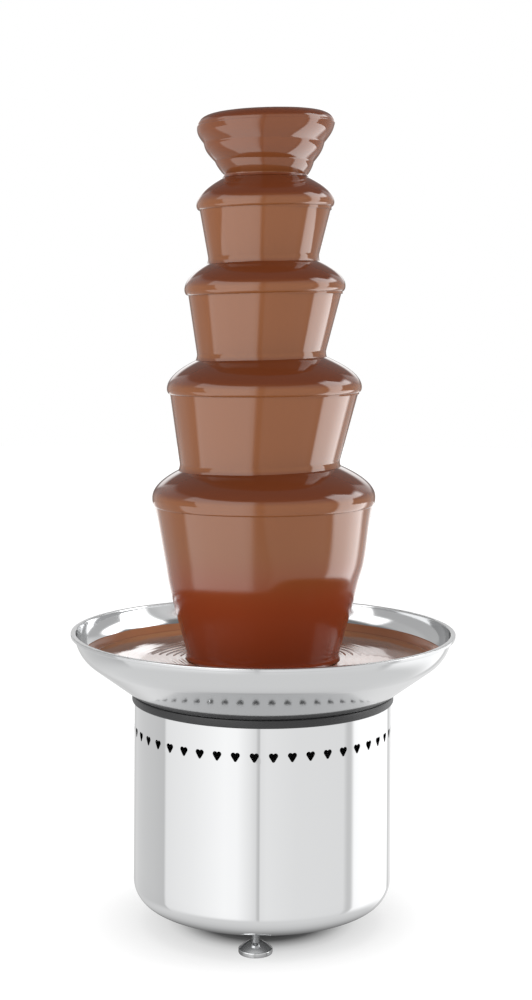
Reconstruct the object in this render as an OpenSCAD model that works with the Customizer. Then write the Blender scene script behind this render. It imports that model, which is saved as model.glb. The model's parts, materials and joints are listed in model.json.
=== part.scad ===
// Chocolate fountain: a drum base with a heated bowl, and a tiered tower that an auger feeds.
// Millimetres, +Z up, origin on the table at the fountain's axis, front towards -Y.

/* [Feet] */
// Height of the drum's underside above the table
stand_h = 20.5; // [19:0.5:30]
// Diameter of a foot's disc
foot_d = 32; // [26:1:38]
// Height of the straight rim of a foot
foot_rim_h = 4.5; // [3.5:0.5:6]
// Height of the top of a foot's cone
foot_h = 11; // [9:0.5:12]
// Radius of the circle that the feet stand on
foot_circle_r = 94; // [93:0.5:96]
// Diameter of a foot's threaded stud
stud_d = 8; // [6:1:8]
// Length of a stud above its foot's cone
stud_reach = 34; // [30:1:45]
// Height of the nut that a stud screws into
foot_nut_h = 6.5; // [5:0.5:8]

/* [Drum] */
// Outer diameter of the drum
drum_d = 252.6; // [248:0.2:262]
// Height of the drum's sheet, from its underside to its top edge
drum_h = 200.5; // [196:0.5:220]
// Thickness of the drum's sheet
drum_wall = 1.2; // [0.8:0.1:2]
// Radius of the drum's bottom corner
drum_corner_r = 22; // [12:0.5:23]
// Diameter of the opening in the drum's underside
bottom_opening_d = 156; // [140:1:158]
// Thickness of the bottom cover
bottom_cover_t = 1.5; // [1:0.1:2.5]
// Number of screws in the bottom cover
cover_screw_count = 6; // [3:1:8]
// Number of air slots in the bottom cover
cover_slot_count = 12; // [6:1:20]

/* [Vents] */
// Number of heart vents around the drum
vent_count = 45; // [20:1:60]
// Width of a heart vent
heart_w = 8; // [5:0.5:10]
// Height of a heart vent
heart_h = 8.2; // [5.5:0.1:11]
// Distance from the drum's top edge down to the hearts' middle
vent_drop = 31; // [20:1:45]

/* [Gasket] */
// How far the gasket stands out past the drum
gasket_out = 2.5; // [1.5:0.1:4]
// Thickness of the gasket above the drum's edge
gasket_web = 2; // [1:0.1:3]
// How far the gasket's legs reach down over the drum's edge
gasket_leg = 4; // [2:0.5:8]
// Thickness of the gasket's inner leg
gasket_in = 4; // [2:0.5:6]

/* [Bowl] */
// Outer diameter of the bowl's rim
bowl_d = 378.6; // [370:0.2:400]
// Height of the bowl from its underside to its rim
bowl_h = 76.4; // [70:0.2:80]
// Diameter of the bowl's flat floor
bowl_floor_d = 210; // [200:1:220]
// Slope of the bowl's side, in degrees from level
bowl_slope = 36; // [32:0.5:38]
// Radius of the bend below the rim, on the outside
bowl_bend_r = 38; // [30:0.5:44]
// Thickness of the bowl's sheet
bowl_wall = 1.2; // [0.8:0.1:2]
// Width of the flat rim
rim_w = 3.5; // [2.5:0.1:8]
// Height of the hem turned down at the rim's edge
rim_hem = 3.2; // [2:0.1:6]

/* [Tower] */
// Outer diameter of the tower tube
tube_d = 60; // [56:1:64]
// Wall of the tower tube
tube_wall = 1.5; // [1:0.1:2]
// Gap under the tube where chocolate enters
tube_lift = 10; // [6:0.5:14]
// Diameter of a tier's lip with its chocolate, from the top tier down
tier_lip_d = [136.4, 159.2, 192.6, 220.2]; // [120:0.2:240]
// Height of a tier's lip above the bowl's floor, from the top tier down
tier_rise = [496.4, 413.4, 314.8, 207.5]; // [180:0.1:520]
// Rounding of the domes: the drop across one unit of this length follows a parabola
dome_curve = 26.6; // [22:0.1:30]
// Thickness of a tier's sheet, measured level
tier_wall = 1.2; // [0.8:0.1:1.8]
// Depth of the straight edge below a tier's lip
tier_edge = 5; // [3:0.5:6]
// Height of the collar that a tier slides on with
collar_h = 10; // [6:0.5:14]
// Wall of a collar
collar_wall = 1.5; // [1:0.1:2.5]
// Diameter of the pins that carry the tiers
pin_d = 4; // [3:0.5:5]
// How far the pins stand out of the tube
pin_out = 3.5; // [2.5:0.5:5]

/* [Crown] */
// Diameter of the crown's rim with its chocolate
crown_d = 135.8; // [125:0.2:145]
// Diameter of the crown's neck with its chocolate
crown_neck_d = 83; // [80:0.2:90]
// Height from the neck to the widest part of the rim
crown_h = 50; // [44:0.5:60]
// Number of ripples on the crown's flare
crown_ripples = 3; // [2:1:4]
// How far a ripple swells out
ripple_swell = 1.6; // [0.5:0.1:2.5]
// Height from the neck to the crown's floor, which sits on the tube
crown_seat_h = 20; // [18:0.5:24]
// Length of the sleeve that fits over the tube
crown_sleeve = 10; // [6:0.5:10]
// Thickness of the crown's sheet, measured level
crown_wall = 1.2; // [0.8:0.1:2]

/* [Chocolate] */
// Thickness of the chocolate on the metal, measured level
film_t = 3; // [2.5:0.1:4]
// Thickness of a falling curtain
curtain_t = 2.2; // [1.5:0.1:3]
// How far the chocolate hangs below a lip before it falls free
lip_drop = 9.5; // [7:0.5:12]
// How far the curtain's top lies inside the lip
lip_notch = 4; // [3.5:0.1:6]
// Diameter where each curtain lands, from the top tier down
curtain_land_d = [107.8, 125.6, 156.2, 148.2]; // [90:0.2:180]
// How much each curtain bows outwards, from the top tier down
curtain_bow = [0, 0, 0, 0.6]; // [0:0.05:0.9]
// Depth of the chocolate pool
pool_depth = 48.4; // [30:0.2:60]
// How far the chocolate rises above the crown's widest line
crown_fill_h = 11.5; // [8:0.5:16]
// Extra height of the chocolate at the crown's middle
crown_dome_h = 2; // [0.5:0.5:5]

/* [Auger] */
// Diameter of the auger's core
core_d = 22; // [20:0.5:26]
// Rise of the flight in one turn
flight_pitch = 42; // [30:1:60]
// Thickness of the flight
flight_t = 2; // [1.5:0.1:3]
// Gap between the flight and the tube
flight_gap = 1.2; // [0.8:0.1:2]
// How far the auger reaches above the tube
auger_over = 20; // [10:0.5:22]

/* [Hub and shaft] */
// Diameter of the drive shaft
shaft_d = 12; // [10:0.5:12]
// Height of the hub's neck above the bowl's floor
hub_h = 24; // [18:0.5:30]
// Diameter of the hub's neck
hub_neck_d = 26; // [25:0.5:28]
// Diameter of the hub's flange
hub_flange_d = 46; // [42:0.5:47]
// Thickness of the hub's flange
hub_flange_t = 3; // [2:0.5:5]
// Diameter of the hub's threaded spigot under the bowl
spigot_d = 36; // [30:0.5:38]
// Length of the spigot below the bowl
spigot_len = 14; // [10:0.5:18]
// Height of the hub nut
hub_nut_h = 7; // [5:0.5:9]
// Wall of the shaft bushes
bush_wall = 2.5; // [1.5:0.1:2.5]
// Height of the shaft seal
seal_h = 5; // [3:0.5:8]
// Width of the shaft seal's ring
seal_w = 4.5; // [3:0.1:5]
// Length of shaft above the hub
shaft_reach = 43; // [34:0.5:60]
// Diameter of the cross pin that drives the auger
drive_pin_d = 5; // [3:0.5:6]
// Distance from the shaft's top down to the cross pin
drive_pin_drop = 12; // [8:0.5:16]
// Diameter of a post that holds the tower's foot
post_d = 9; // [7:0.5:9]
// How far a post grips the tube
post_grip = 7; // [4:0.5:10]

/* [Gearing] */
// Module of the gears
gear_m = 1; // [0.9:0.05:1.1]
// Teeth on both pinions
pinion_teeth = 12; // [12:1:14]
// Teeth on the cluster's large gear
cluster_teeth = 36; // [30:6:36]
// Teeth on the output gear
output_teeth = 48; // [48:6:54]
// Face width of the first stage
face_1 = 8; // [5:0.5:9]
// Face width of the second stage
face_2 = 9; // [6:0.5:10]
// Diameter of the cluster gear's pin
cluster_pin_d = 6; // [4:0.5:6]
// Inner height of the gearbox
gearbox_in_h = 29; // [27:0.5:40]
// Wall of the gearbox
gearbox_wall = 3; // [2:0.5:5]
// Thickness of the gearbox's floor
gearbox_floor = 4; // [3:0.5:6]
// Thickness of the gearbox's cover
gearbox_cover_t = 5; // [4:0.5:8]

/* [Motor] */
// Diameter of the motor can
motor_d = 66; // [56:1:76]
// Length of the motor can
motor_h = 70; // [60:1:76]
// Thickness of the motor can's sheet
motor_wall = 1.5; // [1:0.1:2.5]
// Diameter of the rotor
rotor_d = 33.6; // [26:0.2:40]
// Air gap between the rotor and the stator
air_gap = 0.5; // [0.3:0.1:1]
// Length of the stator
stator_h = 43; // [36:0.5:46]
// Diameter of the rotor's shaft
rotor_shaft_d = 7; // [5:0.5:7]

/* [Chassis] */
// Distance from the bowl's underside to the chassis plate
pillar_h = 55.6; // [52:0.1:62]
// Diameter of a pillar
pillar_d = 10; // [8:0.5:10]
// Space between the heater plate and a pillar
pillar_space = 2; // [0.5:0.5:4]
// How far the chassis plate reaches past the pillars
plate_margin = 4; // [2:0.5:5]
// Thickness of the chassis plate
plate_t = 2.5; // [1.5:0.1:4]
// Width of a wall bracket
bracket_w = 20; // [14:1:24]
// Height of a wall bracket
bracket_h = 25; // [15:1:40]
// Thickness of a wall bracket
bracket_t = 2; // [1.5:0.1:3]
// How far a bracket reaches under the chassis plate
bracket_lap = 12; // [10:0.5:16]
// Diameter of the small screws
screw_d = 4; // [3:0.5:4]

/* [Heater] */
// Diameter of the heating element's ring, at the tube's middle
heater_d = 120; // [110:1:124]
// Diameter of the element's tube
heater_tube_d = 8; // [6:0.5:9]
// Angle that the ring leaves open for its ends
heater_gap_a = 30; // [20:1:60]
// Width of the heater plate
heater_plate_w = 38; // [34:1:38]
// Thickness of the heater plate
heater_plate_t = 2; // [1:0.1:3]
// Diameter of the weld studs that hold the plate
weld_stud_d = 5; // [4:0.5:6]
// Distance from the middle of a weld stud to the plate's edge
weld_stud_inset = 7; // [5:0.5:9]

/* [Controls on the back] */
// Height of the thermostat knob above the drum's underside
knob_rise = 129.5; // [124:0.5:134]
// Diameter of the knob
knob_d = 38; // [32:1:40]
// Height of the knob
knob_h = 17; // [14:0.5:22]
// Diameter of the thermostat's spindle
spindle_d = 6; // [4:0.5:6]
// Width of the thermostat's body
thermostat_w = 34; // [28:1:36]
// Height of the motor switch above the drum's underside
motor_switch_rise = 91.5; // [90:0.5:94]
// Height of the heater switch above the drum's underside
heater_switch_rise = 65.5; // [64:0.5:67]
// Width of a switch's frame
switch_w = 30; // [28:0.5:31]
// Height of a switch's frame
switch_h = 21; // [20:0.5:22]
// Angle that a rocker leans to each side
rocker_lean = 8; // [5:0.5:10]
// Height of the appliance inlet above the drum's underside
inlet_rise = 37.5; // [36:0.5:38]
// Width of the inlet's flange
inlet_w = 31; // [30:0.5:33]
// Height of the inlet's flange
inlet_h = 24; // [23:0.5:26]
// Depth of the inlet's socket
inlet_depth = 16; // [14:0.5:18]

/* [Clearances] */
// Gap between pieces that rest on each other
seat_gap = 0.2; // [0.1:0.05:0.3]
// Radial gap of a turning shaft
run_gap = 0.05; // [0.03:0.01:0.08]
// Radial gap of a fixed fit
fit_gap = 0.02; // [0.01:0.01:0.05]
// Gap of pieces that slide on by hand
slip_gap = 0.3; // [0.2:0.05:0.5]
// Play between gear teeth, along the pitch circle
backlash = 0.25; // [0.15:0.05:0.4]

/* [Hidden] */
$fn = 96;

steel = "#c9ccd0";
dark_steel = "#8d9196";
chocolate = "#7a432c";
black = "#1b1b1d";
brass = "#b8964f";
aluminium = "#b3b7ba";

// Drum and feet
drum_r = drum_d / 2;
drum_in_r = drum_r - drum_wall;
drum_top = stand_h + drum_h;
stud_r = stud_d / 2;
foot_angles = [-90, 30, 150];
stud_seat_z = foot_rim_h * 0.7;
cover_lap = 8;
cover_r = bottom_opening_d / 2 + cover_lap;
cover_screw_r = bottom_opening_d / 2 + cover_lap / 2;

// Gasket and bowl
gasket_r = drum_r + gasket_out;
edge_r = drum_r - drum_wall / 2;
seat_z = drum_top + gasket_web + (gasket_r - edge_r) * tan(bowl_slope);
floor_r = bowl_floor_d / 2;
bowl_z = seat_z + seat_gap - (gasket_r - floor_r) * tan(bowl_slope);
floor_z = bowl_z + bowl_wall;
rim_z = bowl_z + bowl_h;
rim_r = bowl_d / 2;
bend_x = rim_r - rim_w - bowl_bend_r;
bend_z = bowl_z + ((bend_x - floor_r) * sin(bowl_slope) + bowl_bend_r) / cos(bowl_slope);
bend_steps = 12;
pool_z = floor_z + pool_depth;

// Tower
tube_r = tube_d / 2;
tube_in_r = tube_r - tube_wall;
tube_z = floor_z + tube_lift;
collar_in_r = tube_r + slip_gap;
collar_r = collar_in_r + collar_wall;
dome_steps = 16;
curtain_steps = 10;
neck_r = crown_neck_d / 2;
neck_z = tier_z(0) + dome_rise(tier_lip_d[0] / 2, neck_r - film_t - crown_wall) + slip_gap;
crown_rim_z = neck_z + crown_h;
crown_steps = 8 * crown_ripples;
crown_edge_h = 2;
crown_floor_t = 1.5;
tube_top = neck_z + crown_seat_h;

// Hub, shaft and auger
shaft_r = shaft_d / 2;
hub_top = floor_z + hub_h;
bush_r = shaft_r + bush_wall;
seal_r = shaft_r + seal_w;
shaft_top = hub_top + shaft_reach;
drive_pin_z = shaft_top - drive_pin_drop;
core_r = core_d / 2;
core_z = hub_top + 2.5;
auger_top = tube_top + auger_over;
flight_steps = 24;
flight_r = tube_in_r - flight_gap;
flight_z = core_z + 3;
flight_top = auger_top - core_r - flight_t;

// Gearing, all places counted from the chassis plate
plate_z = bowl_z - pillar_h - plate_t;
gearbox_top = plate_z - gearbox_cover_t;
gearbox_z = gearbox_top - gearbox_in_h - gearbox_floor;
level_1 = gearbox_z + gearbox_floor + 2;
level_2 = level_1 + face_1 + 2;
tooth_addendum = 0.75 * gear_m;
tooth_dedendum = gear_m;
pressure_a = 20;
cluster_pos = [-gear_m * (output_teeth + pinion_teeth) / 2, 0];
motor_a = 60;
motor_pos = cluster_pos + gear_m * (cluster_teeth + pinion_teeth) / 2 * [cos(motor_a), sin(motor_a)];
gearbox_pos = [0.4 * cluster_pos.x, 0.3 * motor_pos.y];
output_tip_r = gear_m * output_teeth / 2 + tooth_addendum;
cluster_tip_r = gear_m * cluster_teeth / 2 + tooth_addendum;
gearbox_in_r = max(norm(gearbox_pos) + output_tip_r,
                   norm(cluster_pos - gearbox_pos) + cluster_tip_r) + 2.5;
gearbox_r = gearbox_in_r + gearbox_wall;
ear_r = screw_d / 2 + 3;
ear_angles = [45, 135, 225, 315];
ear_circle_r = gearbox_in_r + ear_r + 0.5;
boss_h = 12;
motor_z = gearbox_z - motor_h;
rotor_shaft_r = rotor_shaft_d / 2;
stator_z = motor_z + (motor_h - stator_h) / 2;

// Chassis and heater
bracket_r = sqrt(pow(drum_in_r - seat_gap, 2) - pow(bracket_w / 2, 2));
heater_z = bowl_z - seat_gap - heater_tube_d / 2;
heater_plate_z = heater_z - heater_tube_d / 2 - seat_gap - heater_plate_t;
heater_plate_r = heater_d / 2 + heater_plate_w / 2;
weld_stud_circle_r = heater_plate_r - weld_stud_inset;
pillar_angles = [60, 180, 300];
pillar_circle_r = heater_plate_r + pillar_space + pillar_d / 2;
plate_r = pillar_circle_r + pillar_d / 2 + plate_margin;
bracket_angles = [30, 150, 270];
bracket_screw_r = plate_r - bracket_lap / 2;
weld_stud_len = bowl_z - heater_plate_z + 6;
weld_stud_angles = [0, 120, 240];
lead_angles = [for (side = [-1, 1]) 90 + side * (heater_gap_a / 2 + 360 * heater_tube_d / heater_d / PI)];
screw_head_h = 0.7 * screw_d;

// Controls
knob_z = stand_h + knob_rise;
motor_switch_z = stand_h + motor_switch_rise;
heater_switch_z = stand_h + heater_switch_rise;
inlet_z = stand_h + inlet_rise;
panel_y = drum_r + seat_gap;
flange_t = 2.4;
switch_depth = 22;
switch_wall = 1.7;
rocker_pivot_y = panel_y + 1.4;
rocker_r = switch_w / 2 - flange_t - slip_gap;
rocker_w = switch_h - 2 * flange_t - 2 * switch_wall / 2;
rocker_pin_r = 1.2;
thermostat_gap = 8;
thermostat_depth = 20;
thermostat_space = 5;
spindle_r = spindle_d / 2;
thermostat_bush_r = spindle_r + 2;
knob_gap = 1.2;
inlet_wall = 2.2;
blade_w = 2;
blade_h = 4;

// Height of tier i's lip above the table
function tier_z(i) = floor_z + tier_rise[i];
// Rise of a dome above its lip at a radius, and its radius at a rise
function dome_rise(lip, r) = sqrt(dome_curve * (lip - r));
function dome_radius(lip, z) = lip - z * z / dome_curve;
// Points down a dome from a radius to its lip
function dome_line(lip, r, z) = [
    for (k = [0 : dome_steps])
        let (rise = dome_rise(lip, r) * (1 - k / dome_steps))
        [dome_radius(lip, rise), z + rise]
];
function backwards(list) = [for (k = [len(list) - 1 : -1 : 0]) list[k]];
// Points up the bowl's side from its floor to a height, set in from the outside by a wall
function bowl_line(inset, z_end) =
    let (
        r = bowl_bend_r - inset,
        corner_r = floor_r - inset * tan(bowl_slope / 2),
        bend_start_z = bend_z - r * cos(bowl_slope),
        corner = [corner_r, bowl_z + inset]
    )
    z_end <= bend_start_z
        ? [corner, [corner_r + (z_end - bowl_z - inset) / tan(bowl_slope), z_end]]
        : concat([corner], [
            for (k = [0 : bend_steps])
                let (a = (bowl_slope - 90)
                         + (asin((z_end - bend_z) / r) + 90 - bowl_slope) * k / bend_steps)
                [bend_x + r * cos(a), bend_z + r * sin(a)]
        ]);
// Where curtain i ends, just above the next tier's chocolate or the pool
function land_z(i) = i == 3
    ? pool_z + slip_gap
    : tier_z(i + 1) + slip_gap
      + dome_rise(tier_lip_d[i + 1] / 2, curtain_land_d[i] / 2 - curtain_t);
// Points down curtain i, set in from its outside
function curtain_line(i, inset) = [
    for (k = [0 : curtain_steps])
        let (
            t = k / curtain_steps,
            r_top = tier_lip_d[i] / 2 - lip_notch,
            r_end = curtain_land_d[i] / 2,
            z_top = tier_z(i) - lip_drop,
            fall = (1 - curtain_bow[i]) * t + curtain_bow[i] * t * t
        )
        [r_top + (r_end - r_top) * fall - inset, z_top + (land_z(i) - z_top) * t]
];
// Points down the crown's rippled flare from its rim to its neck, set in from the outside
function crown_line(inset) = [
    for (k = [0 : crown_steps])
        let (t = k / crown_steps)
        [crown_d / 2 + (neck_r - crown_d / 2) * t
         + ripple_swell * abs(sin(180 * crown_ripples * t)) - inset,
         crown_rim_z - crown_h * t]
];
function crown_radius(z) = let (t = (crown_rim_z - z) / crown_h)
    crown_d / 2 + (neck_r - crown_d / 2) * t + ripple_swell * abs(sin(180 * crown_ripples * t));
// Involute of a pressure angle, in degrees
function involute(a) = tan(a) * 180 / PI - a;
// Outline of a spur gear whose first tooth points along +X
function gear_line(teeth) =
    let (
        pitch_r = gear_m * teeth / 2,
        base_r = pitch_r * cos(pressure_a),
        root_r = pitch_r - tooth_dedendum,
        low_r = max(base_r, root_r),
        tip_r = pitch_r + tooth_addendum,
        half = 90 / teeth - backlash / 4 / pitch_r * 180 / PI + involute(pressure_a),
        radii = [low_r, (low_r + tip_r) / 2, tip_r]
    )
    [
        for (i = [0 : teeth - 1])
            let (
                middle = 360 * i / teeth,
                widths = [for (r = radii) half - involute(acos(base_r / r))]
            )
            each concat(
                [root_r * [cos(middle - widths[0]), sin(middle - widths[0])]],
                [for (j = [0 : 2]) radii[j] * [cos(middle - widths[j]), sin(middle - widths[j])]],
                [for (j = [2 : -1 : 0]) radii[j] * [cos(middle + widths[j]), sin(middle + widths[j])]],
                [root_r * [cos(middle + widths[0]), sin(middle + widths[0])]]
            )
    ];

// Repeats its child at each angle, moved out by a radius
module around(angles, r) {
    for (a = angles)
        rotate(a) translate([r, 0, 0]) children();
}

module ring(outer_r, inner_r, h) {
    difference() {
        cylinder(r = outer_r, h = h);
        translate([0, 0, -1]) cylinder(r = inner_r, h = h + 2);
    }
}

// Hexagon bar of a width across flats
module hexagon(flats, h) {
    cylinder(r = flats / 2 / cos(30), h = h, $fn = 6);
}

// Screw that points down, with its head standing on z = 0
module screw(length) {
    cylinder(r = 0.9 * screw_d, h = screw_head_h);
    translate([0, 0, -length]) cylinder(r = screw_d / 2, h = length + 0.5);
}

// Heart with its point down, as wide and tall as a vent
module heart() {
    lobe_r = heart_w * 0.27;
    lobe_x = heart_w / 2 - lobe_r;
    tip_y = heart_h - lobe_r;
    reach = norm([lobe_x, tip_y]);
    side_a = atan2(tip_y, lobe_x) - asin(lobe_r / reach);
    side = sqrt(reach * reach - lobe_r * lobe_r);
    shoulder = [side * cos(side_a), side * sin(side_a) - tip_y];
    translate([0, heart_h / 2 - lobe_r]) {
        for (s = [-1, 1])
            translate([s * lobe_x, 0]) circle(r = lobe_r);
        polygon([
            [0, -tip_y], shoulder, [lobe_x, 0], [0, lobe_r * 0.4], [-lobe_x, 0],
            [-shoulder.x, shoulder.y]
        ]);
    }
}

// Half section of a round pot with a rounded bottom corner
module pot_section(r, h, corner) {
    square([r - corner, h]);
    translate([0, corner]) square([r, h - corner]);
    translate([r - corner, corner]) circle(r = corner);
}

module drum_housing() {
    color(steel) difference() {
        translate([0, 0, stand_h]) rotate_extrude() difference() {
            pot_section(drum_r, drum_h, drum_corner_r);
            translate([0, drum_wall])
                pot_section(drum_in_r, drum_h, drum_corner_r - drum_wall);
            translate([0, -1]) square([bottom_opening_d / 2, drum_corner_r]);
        }
        for (i = [0 : vent_count - 1])
            rotate(360 * i / vent_count)
                translate([0, -drum_r + 4, drum_top - vent_drop])
                    rotate([90, 0, 0]) linear_extrude(8) heart();
        around(foot_angles, foot_circle_r)
            translate([0, 0, stand_h - 1]) cylinder(r = stud_r + 0.5, h = 4);
        around(cover_screw_angles(), cover_screw_r)
            translate([0, 0, stand_h - 1]) cylinder(r = screw_d / 2 + fit_gap, h = 4);
        translate([0, drum_r - 6, knob_z]) rotate([-90, 0, 0])
            cylinder(r = thermostat_bush_r + slip_gap, h = 8);
        for (z = [motor_switch_z, heater_switch_z])
            back_box(switch_w - 2 * switch_wall + 2 * slip_gap,
                     switch_h - 2 * switch_wall + 2 * slip_gap, z);
        back_box(inlet_w - 2 * inlet_wall + 2 * slip_gap,
                 inlet_h - 2 * inlet_wall + 2 * slip_gap, inlet_z);
    }
}

function cover_screw_angles() = [for (i = [0 : cover_screw_count - 1]) 360 * i / cover_screw_count];

// Square hole through the drum's back
module back_box(w, h, z) {
    translate([-w / 2, drum_r - 6, z - h / 2]) cube([w, 10, h]);
}

module rim_gasket() {
    leg_in_r = drum_in_r - gasket_in;
    leg_z = drum_top - gasket_leg;
    lip = gasket_out * 0.6;
    color(black) rotate_extrude() difference() {
        polygon([
            [leg_in_r, leg_z], [drum_r + lip / 2, leg_z], [gasket_r, leg_z + lip],
            [gasket_r, seat_z], [leg_in_r, seat_z - (gasket_r - leg_in_r) * tan(bowl_slope)]
        ]);
        translate([drum_in_r - seat_gap, leg_z - 1])
            square([drum_wall + 2 * seat_gap, gasket_leg + 1 + seat_gap]);
    }
}

module bowl() {
    wall_out = bowl_line(0, rim_z);
    wall_in = bowl_line(bowl_wall, rim_z);
    rim_in_r = wall_in[len(wall_in) - 1].x;
    hole_r = spigot_d / 2 + seat_gap;
    color(steel) {
        rotate_extrude() {
            polygon(concat([[hole_r, bowl_z]], wall_out, backwards(wall_in), [[hole_r, floor_z]]));
            translate([rim_in_r, rim_z - bowl_wall]) square([rim_r - rim_in_r, bowl_wall]);
            translate([rim_r - bowl_wall, rim_z - rim_hem]) square([bowl_wall, rim_hem]);
        }
        around(weld_stud_angles, weld_stud_circle_r)
            translate([0, 0, bowl_z - weld_stud_len])
                cylinder(r = weld_stud_d / 2, h = weld_stud_len + bowl_wall / 2);
    }
}

module chocolate_pool() {
    inset = bowl_wall + slip_gap;
    in_r = tube_r + slip_gap;
    color(chocolate) difference() {
        rotate_extrude()
            polygon(concat([[in_r, bowl_z + inset]], bowl_line(inset, pool_z), [[in_r, pool_z]]));
        around(post_angles(), tube_r - tube_wall / 2)
            translate([0, 0, floor_z - 1])
                cylinder(r = post_d / 2 + slip_gap, h = pool_depth + 2);
    }
}

function post_angles() = [30, 150, 270];

module hub() {
    bore_r = bush_r + fit_gap;
    color(steel) difference() {
        union() {
            translate([0, 0, bowl_z - spigot_len])
                cylinder(r = spigot_d / 2, h = spigot_len + bowl_wall);
            translate([0, 0, floor_z]) cylinder(r = hub_flange_d / 2, h = hub_flange_t);
            translate([0, 0, floor_z]) cylinder(r = hub_neck_d / 2, h = hub_h);
        }
        translate([0, 0, bowl_z - spigot_len - 1])
            cylinder(r = bore_r, h = spigot_len + bowl_wall + hub_h + 2);
        translate([0, 0, hub_top - seal_h]) cylinder(r = seal_r + fit_gap, h = seal_h + 1);
    }
}

module hub_nut() {
    color(brass) translate([0, 0, bowl_z - hub_nut_h]) difference() {
        hexagon(1.25 * spigot_d, hub_nut_h);
        translate([0, 0, -1]) cylinder(r = spigot_d / 2 + fit_gap, h = hub_nut_h + 2);
    }
}

module shaft_bush() {
    z = bowl_z - spigot_len;
    color(brass) translate([0, 0, z]) ring(bush_r, shaft_r + run_gap, hub_top - seal_h - z);
}

module shaft_seal() {
    color(black) translate([0, 0, hub_top - seal_h]) ring(seal_r, shaft_r + run_gap, seal_h);
}

module tower_posts() {
    color(steel) difference() {
        around(post_angles(), tube_r - tube_wall / 2)
            translate([0, 0, floor_z]) cylinder(r = post_d / 2, h = tube_lift + post_grip);
        translate([0, 0, tube_z - seat_gap])
            ring(tube_r + slip_gap, tube_in_r - slip_gap, post_grip + 1);
    }
}

module heating_element() {
    lead = 18;
    lead_d = 0.7 * heater_tube_d;
    color(dark_steel) {
        translate([0, 0, heater_z]) difference() {
            rotate_extrude() translate([heater_d / 2, 0]) circle(d = heater_tube_d);
            translate([0, 0, -heater_tube_d]) linear_extrude(2 * heater_tube_d) polygon([
                [0, 0], heater_d * [-sin(heater_gap_a / 2), cos(heater_gap_a / 2)],
                heater_d * [sin(heater_gap_a / 2), cos(heater_gap_a / 2)]
            ]);
        }
        around(lead_angles, heater_d / 2) translate([0, 0, heater_z - lead]) {
            cylinder(d = lead_d, h = lead);
            translate([0, 0, -6]) cylinder(d = lead_d / 2, h = 7);
        }
    }
}

module heater_plate() {
    color(aluminium) translate([0, 0, heater_plate_z]) difference() {
        ring(heater_plate_r, heater_d / 2 - heater_plate_w / 2, heater_plate_t);
        around(weld_stud_angles, weld_stud_circle_r)
            translate([0, 0, -1]) cylinder(r = weld_stud_d / 2 + slip_gap, h = heater_plate_t + 2);
        around(lead_angles, heater_d / 2)
            translate([0, 0, -1]) cylinder(d = heater_tube_d, h = heater_plate_t + 2);
    }
}

module heater_nuts() {
    nut_h = 4;
    color(steel) around(weld_stud_angles, weld_stud_circle_r)
        translate([0, 0, heater_plate_z - nut_h]) difference() {
            hexagon(1.6 * weld_stud_d, nut_h);
            translate([0, 0, -1]) cylinder(r = weld_stud_d / 2 + fit_gap, h = nut_h + 2);
        }
}

pillar_screw_len = 12;

module stand_pillars() {
    color(steel) around(pillar_angles, pillar_circle_r) translate([0, 0, plate_z + plate_t])
        difference() {
            cylinder(d = pillar_d, h = pillar_h);
            translate([0, 0, -1]) cylinder(d = screw_d + 2 * fit_gap, h = pillar_screw_len + 1);
        }
}

module chassis_plate() {
    hole_h = plate_t + 2;
    color(steel) translate([0, 0, plate_z]) difference() {
        cylinder(r = plate_r, h = plate_t);
        translate([-plate_r, drum_r - thermostat_gap - thermostat_depth - thermostat_space, -1])
            cube([2 * plate_r, plate_r, hole_h]);
        translate([0, 0, -1]) cylinder(r = shaft_r + 4, h = hole_h);
        around(pillar_angles, pillar_circle_r)
            translate([0, 0, -1]) cylinder(d = screw_d + slip_gap, h = hole_h);
        around(bracket_angles, bracket_screw_r)
            translate([0, 0, -1]) cylinder(d = screw_d + slip_gap, h = hole_h);
        translate([gearbox_pos.x, gearbox_pos.y, -1]) around(ear_angles, ear_circle_r)
            cylinder(d = screw_d + slip_gap, h = hole_h);
    }
}

gearbox_screw_grip = 14;

module chassis_screws() {
    top = plate_z + plate_t;
    color(dark_steel) {
        around(pillar_angles, pillar_circle_r)
            translate([0, 0, plate_z]) rotate([180, 0, 0]) screw(plate_t + pillar_screw_len - 2);
        around(bracket_angles, bracket_screw_r)
            translate([0, 0, top]) screw(plate_t + bracket_t + 6);
        translate([gearbox_pos.x, gearbox_pos.y, top]) around(ear_angles, ear_circle_r)
            screw(plate_t + gearbox_cover_t + gearbox_screw_grip);
    }
}

module wall_brackets() {
    leg_len = bracket_r - (plate_r - bracket_lap);
    color(steel) for (a = bracket_angles) rotate(a) difference() {
        union() {
            translate([bracket_r - leg_len, -bracket_w / 2, plate_z - bracket_t])
                cube([leg_len, bracket_w, bracket_t]);
            translate([bracket_r - bracket_t, -bracket_w / 2, plate_z - bracket_h])
                cube([bracket_t, bracket_w, bracket_h]);
        }
        translate([bracket_screw_r, 0, plate_z - bracket_t - 1])
            cylinder(d = screw_d + 2 * fit_gap, h = bracket_t + 2);
    }
}

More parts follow.
